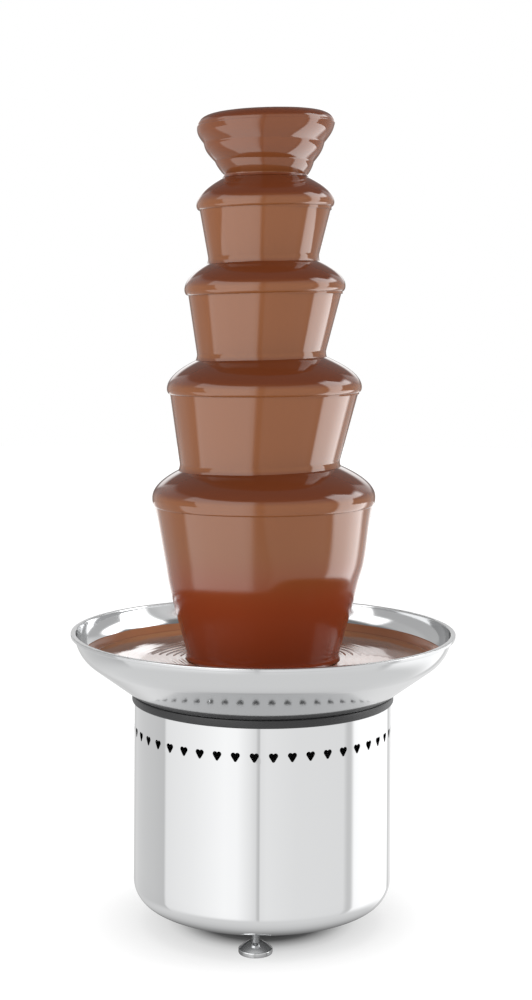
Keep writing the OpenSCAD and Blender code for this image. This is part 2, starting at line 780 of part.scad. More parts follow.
module gearbox_case() {
    ear_h = gearbox_screw_grip + 4;
    outer_h = gearbox_floor + gearbox_in_h;
    color(aluminium) difference() {
        union() {
            translate([gearbox_pos.x, gearbox_pos.y, gearbox_z]) difference() {
                union() {
                    cylinder(r = gearbox_r, h = outer_h);
                    around(ear_angles, ear_circle_r)
                        translate([0, 0, outer_h - ear_h]) cylinder(r = ear_r, h = ear_h - seat_gap);
                }
                translate([0, 0, gearbox_floor]) cylinder(r = gearbox_in_r, h = outer_h);
            }
            translate([0, 0, gearbox_z]) cylinder(r = bush_r + 2, h = boss_h);
        }
        translate([0, 0, gearbox_z + 1]) cylinder(r = bush_r + fit_gap, h = boss_h);
        translate([cluster_pos.x, cluster_pos.y, gearbox_z + 1])
            cylinder(d = cluster_pin_d + 2 * fit_gap, h = gearbox_floor);
        translate([motor_pos.x, motor_pos.y, gearbox_z - 1])
            cylinder(r = rotor_shaft_r + slip_gap, h = gearbox_floor + 2);
        translate([gearbox_pos.x, gearbox_pos.y, gearbox_top - gearbox_screw_grip - 1])
            around(ear_angles, ear_circle_r)
                cylinder(d = screw_d + 2 * fit_gap, h = gearbox_screw_grip + 2);
    }
}

module gearbox_cover() {
    color(aluminium) difference() {
        translate([gearbox_pos.x, gearbox_pos.y, gearbox_top]) {
            cylinder(r = gearbox_r, h = gearbox_cover_t);
            around(ear_angles, ear_circle_r) cylinder(r = ear_r, h = gearbox_cover_t);
        }
        translate([0, 0, gearbox_top - 1]) cylinder(r = bush_r + fit_gap, h = gearbox_cover_t + 2);
        translate([cluster_pos.x, cluster_pos.y, gearbox_top - 1])
            cylinder(d = cluster_pin_d + 2 * fit_gap, h = gearbox_cover_t);
        translate([gearbox_pos.x, gearbox_pos.y, gearbox_top - 1]) around(ear_angles, ear_circle_r)
            cylinder(d = screw_d + slip_gap, h = gearbox_cover_t + 2);
    }
}

module gearbox_bushes() {
    color(brass) {
        translate([0, 0, gearbox_z + 1]) ring(bush_r, shaft_r + run_gap, boss_h - 1);
        translate([0, 0, gearbox_top]) ring(bush_r, shaft_r + run_gap, gearbox_cover_t);
    }
}

module cluster_pin() {
    z = gearbox_z + 1;
    color(dark_steel) translate([cluster_pos.x, cluster_pos.y, z])
        cylinder(d = cluster_pin_d, h = gearbox_top + gearbox_cover_t - 1.2 - z);
}

bearing_h = 7;

module motor_can() {
    boss_r = rotor_shaft_r + 4;
    color(dark_steel) translate([motor_pos.x, motor_pos.y, motor_z]) difference() {
        union() {
            difference() {
                cylinder(d = motor_d, h = motor_h);
                translate([0, 0, motor_wall])
                    cylinder(d = motor_d - 2 * motor_wall, h = motor_h - 2 * motor_wall);
            }
            cylinder(r = boss_r, h = bearing_h);
            translate([0, 0, motor_h - bearing_h]) cylinder(r = boss_r, h = bearing_h);
        }
        translate([0, 0, 1]) cylinder(r = rotor_shaft_r + run_gap, h = motor_h);
    }
}

module motor_stator() {
    color("#6e5a48") translate([motor_pos.x, motor_pos.y, stator_z])
        ring(motor_d / 2 - motor_wall - fit_gap, rotor_d / 2 + air_gap, stator_h);
}

module rotor() {
    z = motor_z + 1 + seat_gap;
    color(dark_steel) translate([motor_pos.x, motor_pos.y, 0]) {
        translate([0, 0, z]) cylinder(r = rotor_shaft_r, h = level_1 + face_1 + 0.5 - z);
        translate([0, 0, stator_z + 1]) cylinder(d = rotor_d, h = stator_h - 2);
    }
}

// Spur gear with a bore, first tooth turned to an angle
module spur_gear(teeth, h, bore_r, turn) {
    difference() {
        rotate(turn) linear_extrude(h) polygon(gear_line(teeth));
        translate([0, 0, -1]) cylinder(r = bore_r, h = h + 2);
    }
}

module motor_pinion() {
    color(brass) translate([motor_pos.x, motor_pos.y, level_1])
        spur_gear(pinion_teeth, face_1, rotor_shaft_r + fit_gap, motor_a + 180 + 180 / pinion_teeth);
}

module cluster_gear() {
    low = gearbox_z + gearbox_floor + seat_gap;
    hub_r = gear_m * pinion_teeth / 2 - tooth_dedendum;
    bore_r = cluster_pin_d / 2 + run_gap;
    color(brass) translate([cluster_pos.x, cluster_pos.y, 0]) difference() {
        union() {
            translate([0, 0, low]) cylinder(r = hub_r, h = gearbox_top - seat_gap - low);
            translate([0, 0, level_1]) rotate(motor_a)
                linear_extrude(face_1) polygon(gear_line(cluster_teeth));
            translate([0, 0, level_2]) rotate(180 / pinion_teeth)
                linear_extrude(face_2) polygon(gear_line(pinion_teeth));
        }
        translate([0, 0, low - 1]) cylinder(r = bore_r, h = gearbox_top - low + 2);
    }
}

module output_gear() {
    hub_top_z = gearbox_top - seat_gap;
    bore_r = shaft_r + fit_gap;
    color(brass) {
        translate([0, 0, level_2]) spur_gear(output_teeth, face_2, bore_r, 180);
        translate([0, 0, level_2]) ring(bush_r + 1.5, bore_r, hub_top_z - level_2);
    }
}

module drive_shaft() {
    z = gearbox_z + 1 + seat_gap;
    color(steel) difference() {
        translate([0, 0, z]) cylinder(r = shaft_r, h = shaft_top - z);
        translate([-shaft_d, 0, drive_pin_z]) rotate([0, 90, 0])
            cylinder(r = drive_pin_d / 2 + fit_gap, h = 2 * shaft_d);
    }
}

module drive_pin() {
    half = core_r - 1;
    color(steel) translate([-half, 0, drive_pin_z]) rotate([0, 90, 0])
        cylinder(d = drive_pin_d, h = 2 * half);
}

module auger_core() {
    slot_w = drive_pin_d + slip_gap;
    slot_top = drive_pin_z + slot_w / 2;
    color(steel) difference() {
        union() {
            translate([0, 0, core_z]) cylinder(r = core_r, h = auger_top - core_r - core_z);
            translate([0, 0, auger_top - core_r]) sphere(r = core_r);
        }
        translate([0, 0, core_z - 1])
            cylinder(r = shaft_r + run_gap, h = shaft_top + 1 + seat_gap - core_z);
        translate([-core_d, -slot_w / 2, core_z - 1]) cube([2 * core_d, slot_w, slot_top - core_z + 1]);
    }
}

// Helical flight: a flat strip wound around the core
module auger_flight() {
    in_r = (core_r + 2 * fit_gap) / cos(180 / flight_steps);
    count = ceil((flight_top - flight_z) / flight_pitch * flight_steps);
    points = [
        for (i = [0 : count])
            let (a = 360 * i / flight_steps, z = flight_z + (flight_top - flight_z) * i / count)
            each [for (c = [[in_r, 0], [flight_r, 0], [flight_r, flight_t], [in_r, flight_t]])
                [c.x * cos(a), c.x * sin(a), z + c.y]]
    ];
    last = 4 * count;
    sides = [
        for (i = [0 : count - 1], k = [0 : 3])
            let (a = 4 * i + k, b = 4 * i + (k + 1) % 4)
            each [[a, b, b + 4], [a, b + 4, a + 4]]
    ];
    ends = [[0, 3, 2], [0, 2, 1], [last, last + 1, last + 2], [last, last + 2, last + 3]];
    color(steel) polyhedron(points, concat(sides, ends));
}

// Height of a collar's low end, and of the pins under it
function collar_z(i) = tier_z(i) - tier_wall / 2 - collar_h
    + dome_rise(tier_lip_d[i] / 2 - film_t - tier_wall, collar_r);
function pin_z(i) = collar_z(i) - pin_d / 2 - seat_gap;
function pin_angles(i) = [for (k = [0 : 2]) 60 * i + 120 * k];

module tower_tube() {
    color(steel) difference() {
        translate([0, 0, tube_z]) ring(tube_r, tube_in_r, tube_top - tube_z);
        for (i = [0 : 3], a = pin_angles(i))
            rotate(a) translate([0, 0, pin_z(i)]) rotate([0, 90, 0])
                cylinder(r = pin_d / 2 + fit_gap, h = tube_d);
    }
}

module tier_pins() {
    color(steel) for (i = [0 : 3])
        around(pin_angles(i), tube_in_r + seat_gap)
            translate([0, 0, pin_z(i)]) rotate([0, 90, 0])
                cylinder(d = pin_d, h = tube_wall - seat_gap + pin_out);
}

// Domed tier with a straight edge and a collar, counted from the top
module tier(i) {
    lip = tier_lip_d[i] / 2 - film_t;
    lip_in = lip - tier_wall;
    z = tier_z(i);
    color(steel) rotate_extrude() polygon(concat(
        dome_line(lip, collar_in_r, z), [[lip, z - tier_edge], [lip_in, z - tier_edge]],
        backwards(dome_line(lip_in, collar_r, z - tier_wall / 2)),
        [[collar_r, collar_z(i)], [collar_in_r, collar_z(i)]]
    ));
}

// Chocolate over tier i: the film on its dome, the rounded lip and the falling curtain
module chocolate_tier(i) {
    lip = tier_lip_d[i] / 2;
    metal = lip - film_t;
    z = tier_z(i);
    start_r = collar_r + slip_gap;
    edge_z = z - tier_edge - slip_gap;
    round_steps = 8;
    lip_line = [
        for (k = [1 : round_steps - 1])
            let (a = 90 * k / round_steps)
            [lip - lip_notch * (1 - cos(a)), z - lip_drop * sin(a)]
    ];
    color(chocolate) rotate_extrude() polygon(concat(
        dome_line(lip, start_r, z), lip_line, curtain_line(i, 0),
        backwards(curtain_line(i, curtain_t)),
        [[metal - tier_wall - slip_gap, edge_z], [metal + slip_gap, edge_z]],
        backwards(dome_line(metal + slip_gap, start_r, z))
    ));
}

// Crown: a rippled cup with a floor that sits on the tube and a sleeve around it
module crown() {
    seat = tube_top + seat_gap;
    inset = film_t + crown_wall;
    sleeve_in_r = tube_r + slip_gap;
    sleeve_r = sleeve_in_r + crown_wall;
    sleeve_z = seat - crown_sleeve;
    outer = crown_line(film_t);
    inner = crown_line(inset);
    cup = [for (p = inner) if (p.y > seat + crown_floor_t + 0.5) p];
    skirt = [for (p = inner) if (p.y < seat - 0.5) p];
    edge = [0, crown_edge_h];
    color(steel) rotate_extrude() polygon(concat(
        [outer[0] + edge], outer, backwards(skirt), [[crown_radius(seat) - inset, seat]],
        [[sleeve_r, seat], [sleeve_r, sleeve_z], [sleeve_in_r, sleeve_z], [sleeve_in_r, seat]],
        [[tube_in_r, seat], [tube_in_r, seat + crown_floor_t]],
        [[crown_radius(seat + crown_floor_t) - inset, seat + crown_floor_t]],
        backwards(cup), [inner[0] + edge]
    ));
}

// Chocolate that fills the crown, swells over its rim and runs down its flare
module chocolate_crown() {
    cup_z = tube_top + 2 * seat_gap + crown_floor_t;
    top_r = 0.76 * crown_d / 2;
    swell_steps = 10;
    swell = [
        for (k = [0 : swell_steps])
            let (a = 90 * (1 - k / swell_steps))
            [top_r + (crown_d / 2 - top_r) * cos(a), crown_rim_z + crown_fill_h * sin(a)]
    ];
    film_in = crown_line(film_t - slip_gap);
    cup = [for (p = crown_line(film_t + crown_wall + slip_gap)) if (p.y > cup_z) p];
    cup_r = cup[len(cup) - 1].x - 1;
    top_z = crown_rim_z + crown_edge_h + slip_gap;
    well_z = auger_top + flight_t;
    color(chocolate) rotate_extrude() polygon(concat(
        [[0, crown_rim_z + crown_fill_h + crown_dome_h]], swell, crown_line(0),
        backwards(film_in), [[film_in[0].x, top_z], [cup[0].x, top_z]], cup,
        [[cup_r, cup_z], [tube_in_r, cup_z], [tube_in_r, well_z], [0, well_z]]
    ));
}

module bottom_cover() {
    slot_len = 26;
    slot_w = 4;
    color(steel) translate([0, 0, stand_h - bottom_cover_t]) difference() {
        cylinder(r = cover_r, h = bottom_cover_t);
        for (i = [0 : cover_slot_count - 1])
            rotate(360 * (i + 0.5) / cover_slot_count)
                translate([cover_r / 2 - slot_len / 2, -slot_w / 2, -1])
                    cube([slot_len, slot_w, bottom_cover_t + 2]);
        around(cover_screw_angles(), cover_screw_r)
            translate([0, 0, -1]) cylinder(d = screw_d + slip_gap, h = bottom_cover_t + 2);
    }
}

module cover_screws() {
    color(dark_steel) around(cover_screw_angles(), cover_screw_r)
        translate([0, 0, stand_h - bottom_cover_t]) rotate([180, 0, 0])
            screw(bottom_cover_t + drum_wall + 4);
}

module foot_nuts() {
    z = stand_h + drum_wall;
    color(steel) around(foot_angles, foot_circle_r) translate([0, 0, z]) difference() {
        hexagon(1.625 * stud_d, foot_nut_h);
        translate([0, 0, -1]) cylinder(r = stud_r + run_gap, h = foot_nut_h + 2);
    }
}

module foot_pad(i) {
    r = foot_d / 2;
    neck = stud_r + 2;
    bevel = 0.8;
    color(dark_steel) around([foot_angles[i]], foot_circle_r) difference() {
        rotate_extrude() polygon([
            [0, 0], [r - bevel, 0], [r, bevel], [r, foot_rim_h - bevel], [r - bevel, foot_rim_h],
            [neck, foot_h], [0, foot_h]
        ]);
        translate([0, 0, stud_seat_z]) cylinder(r = stud_r + run_gap, h = foot_h);
    }
}

module foot_stud(i) {
    z = stud_seat_z + seat_gap;
    color(steel) around([foot_angles[i]], foot_circle_r)
        translate([0, 0, z]) cylinder(r = stud_r, h = foot_h + stud_reach - z);
}

// Turns a piece that stands on z = 0 so that it stands out of the drum's back at a height
module on_back(z) {
    translate([0, drum_r, z]) rotate([-90, 0, 0]) children();
}

module thermostat() {
    body_h = 26;
    color("#d8d5cc") on_back(knob_z) difference() {
        union() {
            translate([-thermostat_w / 2, -body_h / 2, -thermostat_gap - thermostat_depth])
                cube([thermostat_w, body_h, thermostat_depth]);
            translate([0, 0, -thermostat_gap - 1]) cylinder(r = thermostat_bush_r, h = thermostat_gap + 3);
        }
        translate([0, 0, -thermostat_gap - thermostat_depth / 2])
            cylinder(r = spindle_r + run_gap, h = thermostat_gap + thermostat_depth);
    }
}

spindle_top = knob_gap + knob_h - 5;

module thermostat_spindle() {
    z = -thermostat_gap - thermostat_depth / 2 + seat_gap;
    color(steel) on_back(knob_z) translate([0, 0, z]) cylinder(r = spindle_r, h = spindle_top - z);
}

module thermostat_knob() {
    r = knob_d / 2;
    skirt_h = 3;
    grip_r = r - 3;
    flutes = 16;
    flute_r = 1.6;
    recess_r = thermostat_bush_r + 1.5;
    pointer = [1.8, grip_r - 1, 1];
    color(black) on_back(knob_z) translate([0, 0, knob_gap]) difference() {
        union() {
            cylinder(r = r, h = skirt_h);
            difference() {
                cylinder(r = grip_r, h = knob_h);
                around([for (i = [0 : flutes - 1]) 360 * i / flutes], grip_r + flute_r * 0.4)
                    translate([0, 0, skirt_h]) cylinder(r = flute_r, h = knob_h);
            }
            translate([-pointer.x / 2, -pointer.y, knob_h - 0.5]) cube(pointer);
        }
        translate([0, 0, -1]) cylinder(r = recess_r, h = 4);
        translate([0, 0, -1]) cylinder(r = spindle_r + fit_gap, h = spindle_top - knob_gap + 1.2);
    }
}

// Switch: a frame on the drum's back, and a box behind it with room for the rocker
module switch_body(z) {
    box_w = switch_w - 2 * switch_wall;
    box_h = switch_h - 2 * switch_wall;
    room_depth = rocker_r * sin(rocker_lean) + 8;
    pin_hole_h = rocker_w + 2 * rocker_pin_len + 2 * slip_gap;
    color(black) translate([0, 0, z]) difference() {
        union() {
            translate([-switch_w / 2, panel_y, -switch_h / 2]) cube([switch_w, flange_t, switch_h]);
            translate([-box_w / 2, panel_y - switch_depth, -box_h / 2])
                cube([box_w, switch_depth + 1, box_h]);
        }
        translate([-rocker_r - slip_gap, rocker_pivot_y - room_depth, -rocker_w / 2 - slip_gap])
            cube([2 * (rocker_r + slip_gap), room_depth + 10, rocker_w + 2 * slip_gap]);
        translate([0, rocker_pivot_y, -pin_hole_h / 2])
            cylinder(r = rocker_pin_r + run_gap, h = pin_hole_h);
    }
}

rocker_pin_len = 0.9;

// Rocker with two raised ends, leaning to one side at rest
module rocker(z) {
    raise = rocker_r * tan(rocker_lean);
    valley = 2.2;
    foot = 5;
    color("#c2211c") translate([0, rocker_pivot_y, z]) rotate(rocker_lean) {
        linear_extrude(rocker_w, center = true) intersection() {
            circle(r = rocker_r);
            polygon([
                [-rocker_r, -foot], [rocker_r, -foot], [rocker_r, valley + raise], [0, valley],
                [-rocker_r, valley + raise]
            ]);
        }
        cylinder(r = rocker_pin_r, h = rocker_w + 2 * rocker_pin_len, center = true);
    }
}

// Places of the inlet's three blades: earth above, two below
blade_places = [[0, 3.5], [-7, -2.5], [7, -2.5]];
inlet_floor = 4;

module power_inlet() {
    body_w = inlet_w - 2 * inlet_wall;
    body_h = inlet_h - 2 * inlet_wall;
    room_w = body_w - 2 * inlet_wall;
    room_h = body_h - 2 * inlet_wall;
    cut = 4;
    front = panel_y + flange_t;
    color(black) translate([0, 0, inlet_z]) difference() {
        union() {
            translate([-inlet_w / 2, panel_y, -inlet_h / 2]) cube([inlet_w, flange_t, inlet_h]);
            translate([-body_w / 2, front - inlet_depth - inlet_floor, -body_h / 2])
                cube([body_w, inlet_depth + inlet_floor - 1, body_h]);
        }
        translate([0, front + 1, 0]) rotate([90, 0, 0]) linear_extrude(inlet_depth + 1) polygon([
            [-room_w / 2, -room_h / 2], [room_w / 2, -room_h / 2], [room_w / 2, room_h / 2 - cut],
            [room_w / 2 - cut, room_h / 2], [cut - room_w / 2, room_h / 2],
            [-room_w / 2, room_h / 2 - cut]
        ]);
        for (p = blade_places)
            translate([p.x - blade_w / 2 - fit_gap, front - inlet_depth - inlet_floor - 1,
                       p.y - blade_h / 2 - fit_gap])
                cube([blade_w + 2 * fit_gap, inlet_floor + 2, blade_h + 2 * fit_gap]);
    }
}

module inlet_pins() {
    tail = 7;
    front = panel_y + flange_t;
    length = inlet_depth - 2 + inlet_floor + tail;
    color(brass) for (p = blade_places)
        translate([p.x - blade_w / 2, front - inlet_depth - inlet_floor - tail,
                   inlet_z + p.y - blade_h / 2])
            cube([blade_w, length, blade_h]);
}

drum_housing();
rim_gasket();
bowl();
chocolate_pool();
hub();
hub_nut();
shaft_bush();
shaft_seal();
tower_posts();
heating_element();
heater_plate();
heater_nuts();
stand_pillars();
chassis_plate();
chassis_screws();
wall_brackets();
gearbox_case();
gearbox_cover();
gearbox_bushes();
cluster_pin();
motor_can();
motor_stator();
bottom_cover();
cover_screws();
foot_nuts();
thermostat();
switch_body(motor_switch_z);  // motor_switch
switch_body(heater_switch_z);  // heater_switch
power_inlet();
inlet_pins();
output_gear();
drive_shaft();
drive_pin();
auger_core();
auger_flight();
cluster_gear();
rotor();
motor_pinion();
tower_tube();
tier(0);  // tier_1
tier(1);  // tier_2
tier(2);  // tier_3
tier(3);  // tier_4
tier_pins();
chocolate_tier(0);  // chocolate_tier_1
chocolate_tier(1);  // chocolate_tier_2
chocolate_tier(2);  // chocolate_tier_3
chocolate_tier(3);  // chocolate_tier_4
crown();
chocolate_crown();
thermostat_knob();
thermostat_spindle();
rocker(motor_switch_z);  // motor_rocker
rocker(heater_switch_z);  // heater_rocker
foot_pad(0);  // foot_pad_1
foot_pad(1);  // foot_pad_2
foot_pad(2);  // foot_pad_3
foot_stud(0);  // foot_stud_1
foot_stud(1);  // foot_stud_2
foot_stud(2);  // foot_stud_3
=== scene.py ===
"""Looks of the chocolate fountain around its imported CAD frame. Lengths in helpers are in mm."""

import json
import math

import bmesh
import bpy
from mathutils import Matrix, Vector
from mathutils.geometry import delaunay_2d_cdt


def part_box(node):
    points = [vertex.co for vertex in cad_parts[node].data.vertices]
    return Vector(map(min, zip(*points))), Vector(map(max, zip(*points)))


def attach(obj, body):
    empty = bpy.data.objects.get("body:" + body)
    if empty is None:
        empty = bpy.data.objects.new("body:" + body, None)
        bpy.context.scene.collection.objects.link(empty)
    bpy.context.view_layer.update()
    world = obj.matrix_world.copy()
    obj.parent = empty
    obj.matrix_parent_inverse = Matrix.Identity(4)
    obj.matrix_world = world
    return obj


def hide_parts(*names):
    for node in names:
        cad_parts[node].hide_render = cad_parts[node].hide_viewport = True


MM = 0.001
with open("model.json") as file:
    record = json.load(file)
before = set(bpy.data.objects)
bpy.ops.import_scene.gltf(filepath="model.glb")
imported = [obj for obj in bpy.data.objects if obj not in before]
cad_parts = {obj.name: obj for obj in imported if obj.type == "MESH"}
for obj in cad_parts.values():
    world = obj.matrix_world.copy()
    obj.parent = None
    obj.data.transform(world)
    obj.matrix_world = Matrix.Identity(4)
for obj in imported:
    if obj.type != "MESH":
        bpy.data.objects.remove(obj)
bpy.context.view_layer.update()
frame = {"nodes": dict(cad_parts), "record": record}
nodes = frame["nodes"]
scene = bpy.context.scene
scene.view_settings.view_transform = "Standard"

# Camera: level, a little right of the front, with the horizon above the middle of the picture
VIEW_AZ = math.radians(3.4)
VIEW_DISTANCE = 1.731
VIEW_HEIGHT = 0.601
VIEW_ROLL = math.radians(0.3)
camera = bpy.data.objects.new("camera", bpy.data.cameras.new("camera"))
scene.collection.objects.link(camera)
scene.camera = camera
camera.data.sensor_width = 36
camera.data.lens = 63
camera.data.shift_x = 0.0012
camera.data.shift_y = -0.19
camera.data.clip_start = 0.05
camera.data.clip_end = 50
camera.location = (
    VIEW_DISTANCE * math.sin(VIEW_AZ),
    -VIEW_DISTANCE * math.cos(VIEW_AZ),
    VIEW_HEIGHT,
)
camera.rotation_euler = (
    Matrix.Rotation(VIEW_AZ, 3, "Z")
    @ Matrix.Rotation(math.pi / 2, 3, "X")
    @ Matrix.Rotation(VIEW_ROLL, 3, "Z")
).to_euler()


# Node helpers
def link(tree, source, target):
    tree.links.new(source, target)


def feed(tree, value, socket):
    """Gives a socket a number, or links an output to it."""
    if isinstance(value, (int, float)):
        socket.default_value = value
    else:
        link(tree, value, socket)


def math_node(tree, operation, *values):
    made = tree.nodes.new("ShaderNodeMath")
    made.operation = operation
    for socket, value in zip(made.inputs, values):
        feed(tree, value, socket)
    return made.outputs[0]


def ramp_node(tree, factor, stops):
    """Grey level along a ramp of (place, value) stops, all from nought to one."""
    made = tree.nodes.new("ShaderNodeValToRGB")
    ramp = made.color_ramp
    while len(ramp.elements) < len(stops):
        ramp.elements.new(0.5)
    for element, (place, value) in zip(ramp.elements, stops):
        element.position = place
        element.color = (value, value, value, 1)
    link(tree, factor, made.inputs[0])
    return made.outputs[0]


def smooth_step(tree, value, low, high):
    """Nought at low and one at high, which may be the smaller of the two."""
    made = tree.nodes.new("ShaderNodeMapRange")
    made.interpolation_type = "SMOOTHSTEP"
    made.inputs["From Min"].default_value = low
    made.inputs["From Max"].default_value = high
    link(tree, value, made.inputs["Value"])
    return made.outputs["Result"]


def mix_values(tree, factor, first, second):
    made = tree.nodes.new("ShaderNodeMix")
    for name, value in (("Factor", factor), ("A", first), ("B", second)):
        feed(tree, value, made.inputs[name])
    return made.outputs["Result"]


def tint_node(tree, factor, first, second):
    """Colour between two, each a colour or an output."""
    made = tree.nodes.new("ShaderNodeMix")
    made.data_type = "RGBA"
    link(tree, factor, made.inputs["Factor"])
    for name, colour in (("A", first), ("B", second)):
        if isinstance(colour, tuple):
            made.inputs[name].default_value = (*colour, 1)
        else:
            link(tree, colour, made.inputs[name])
    return made.outputs["Result"]


def turn_share(tree, x, y):
    """Share of a full turn around the object, one half straight at the camera and more to its right."""
    angle = math_node(tree, "ARCTAN2", x, math_node(tree, "MULTIPLY", y, -1.0))
    turned = math_node(tree, "SUBTRACT", angle, VIEW_AZ)
    return math_node(tree, "ADD", math_node(tree, "DIVIDE", turned, 2 * math.pi), 0.5)


def degrees(*stops):
    """Ramp stops from (degrees to the right of the camera, value) pairs."""
    return [((angle + 180) / 360, value) for angle, value in stops]


# Studio: a wide light on the left, a strip on the right, a dim gap between them and a dark ceiling.
# STUDIO is its brightness around the object. Below the heights in LOWS it is as bright as HORIZON,
# and above those in TOPS it is the ceiling.
STUDIO_SCALE = 6.0
STUDIO = degrees(
    (-180, 1.9), (-160, 1.7), (-150, 0.8), (-97, 0.7), (-92, 2.5), (-60, 2.7), (-22, 2.7), (-12, 2.3),
    (-6, 0.7), (-1, 0.55), (2, 0.95), (70, 0.95), (80, 0.7), (85, 4.5), (128, 4.9), (136, 0.8), (156, 1.0),
    (166, 1.7), (180, 1.9),
)
LOWS_SHIFT = 0.5
LOWS = degrees(
    (-180, 0.10), (-162, 0.10), (-150, 0.34), (-78, 0.34), (-68, -0.4), (98, -0.4), (106, 0.30), (140, 0.30),
    (152, 0.10), (180, 0.10),
)
HORIZON = degrees((-180, 0.25), (-162, 0.25), (-150, 0.66), (150, 0.66), (162, 0.25), (180, 0.25))
TOPS = degrees(
    (-180, 0.27), (-156, 0.27), (-148, 0.5), (-92, 0.64), (80, 0.64), (85, 0.7), (104, 0.7), (116, 0.5),
    (148, 0.5), (156, 0.27), (180, 0.27),
)
TABLE_SCALE = 2.5
TABLE_LIGHT = degrees(
    (-180, 0.70), (-162, 0.72), (-152, 0.86), (-112, 0.82), (-97, 0.78), (-94, 1.16), (-64, 1.27),
    (-33, 1.44), (-22, 1.42), (-11, 1.20), (-5, 1.04), (-3.8, 0.76), (-2.6, 0.76), (-1.4, 1.12), (4, 1.17),
    (30, 1.10), (76, 1.08), (81, 0.83), (85, 0.86), (89, 1.50), (104, 1.63), (148, 1.6), (151, 0.82),
    (156, 0.82), (159, 1.0), (180, 0.8),
)
TABLE_BELOW = 1.02
TOWER_BELOW = 0.62
CEILING = 0.27
SOFT = 0.05


def light_around(tree, share, stops, scale):
    """Brightness by direction, which the scale lets rise above one."""
    ramp = ramp_node(tree, share, [(place, value / scale) for place, value in stops])
    return math_node(tree, "MULTIPLY", ramp, scale)


world = bpy.data.worlds.new("studio")
scene.world = world
world.use_nodes = True
tree = world.node_tree
tree.nodes.clear()
place = tree.nodes.new("ShaderNodeTexCoord")
parts = tree.nodes.new("ShaderNodeSeparateXYZ")
link(tree, place.outputs["Generated"], parts.inputs[0])
share = turn_share(tree, parts.outputs["X"], parts.outputs["Y"])
around = light_around(tree, share, STUDIO, STUDIO_SCALE)
lows = ramp_node(tree, share, [(turn, value + LOWS_SHIFT) for turn, value in LOWS])
rise = math_node(tree, "SUBTRACT", math_node(tree, "ADD", parts.outputs["Z"], LOWS_SHIFT), lows)
low_share = smooth_step(tree, rise, SOFT, -SOFT)
around = mix_values(tree, low_share, around, ramp_node(tree, share, HORIZON))
height = math_node(tree, "SUBTRACT", ramp_node(tree, share, TOPS), parts.outputs["Z"])
below_top = smooth_step(tree, height, -SOFT, SOFT)
lit = mix_values(tree, below_top, CEILING, around)
path = tree.nodes.new("ShaderNodeLightPath")
seen = mix_values(tree, path.outputs["Is Camera Ray"], lit, 1.0)
background = tree.nodes.new("ShaderNodeBackground")
background.inputs["Color"].default_value = (1, 1, 1, 1)
link(tree, seen, background.inputs["Strength"])
link(tree, background.outputs[0], tree.nodes.new("ShaderNodeOutputWorld").inputs[0])


def new_object(name, mesh):
    made = bpy.data.objects.new(name, mesh)
    scene.collection.objects.link(made)
    return made


def disc_mesh(name, radius, z):
    made = bmesh.new()
    bmesh.ops.create_circle(
        made, cap_ends=True, radius=radius, segments=96, matrix=Matrix.Translation((0, 0, z))
    )
    mesh = bpy.data.meshes.new(name)
    made.to_mesh(mesh)
    made.free()
    return mesh


def new_material(name):
    made = bpy.data.materials.new(name)
    made.use_nodes = True
    made.node_tree.nodes.clear()
    output = made.node_tree.nodes.new("ShaderNodeOutputMaterial")
    return made, made.node_tree, output


def from_axis(tree):
    """Distance of the shaded point from the object's axis."""
    geometry = tree.nodes.new("ShaderNodeNewGeometry")
    flat = tree.nodes.new("ShaderNodeVectorMath")
    flat.operation = "MULTIPLY"
    flat.inputs[1].default_value = (1, 1, 0)
    link(tree, geometry.outputs["Position"], flat.inputs[0])
    length = tree.nodes.new("ShaderNodeVectorMath")
    length.operation = "LENGTH"
    link(tree, flat.outputs[0], length.inputs[0])
    return length.outputs["Value"]


def by_radius(tree, stops):
    """Grey level by distance from the axis, from (distance, value) stops."""
    reach = stops[-1][0]
    share = math_node(tree, "DIVIDE", from_axis(tree), reach)
    return ramp_node(tree, share, [(r / reach, value) for r, value in stops])


# Floor: white, it takes the shadow and isn't mirrored in the metal. Its glow fades to nought near the axis, a
# painted shadow under the drum.
FLOOR_GREY = 0.28
FLOOR_R = 6.0
FLOOR_Z = -0.0004
# Glow by distance from the axis in metres: it keeps the open floor white, and its fall towards the axis is a
# painted shadow.
FLOOR_GLOW_AND_PAINTED_SHADOW = (
    (0.05, 0.0), (0.062, 0.03), (0.072, 0.24), (0.0825, 0.46), (0.093, 0.57), (0.113, 0.64),
    (0.123, 0.70), (0.145, 0.77), (0.165, 0.83), (0.2, 0.90),
)
floor_material, tree, output = new_material("floor")
white = tree.nodes.new("ShaderNodeBsdfDiffuse")
white.inputs["Color"].default_value = (FLOOR_GREY, FLOOR_GREY, FLOOR_GREY, 1)
# Painted shadow: this glow dims under and around the drum.
glow_and_painted_shadow = tree.nodes.new("ShaderNodeEmission")
link(tree, by_radius(tree, FLOOR_GLOW_AND_PAINTED_SHADOW), glow_and_painted_shadow.inputs["Strength"])
both = tree.nodes.new("ShaderNodeAddShader")
link(tree, white.outputs[0], both.inputs[0])
link(tree, glow_and_painted_shadow.outputs[0], both.inputs[1])
link(tree, both.outputs[0], output.inputs["Surface"])
floor = new_object("floor", disc_mesh("floor", FLOOR_R, FLOOR_Z))
floor.data.materials.append(floor_material)
floor.visible_glossy = False

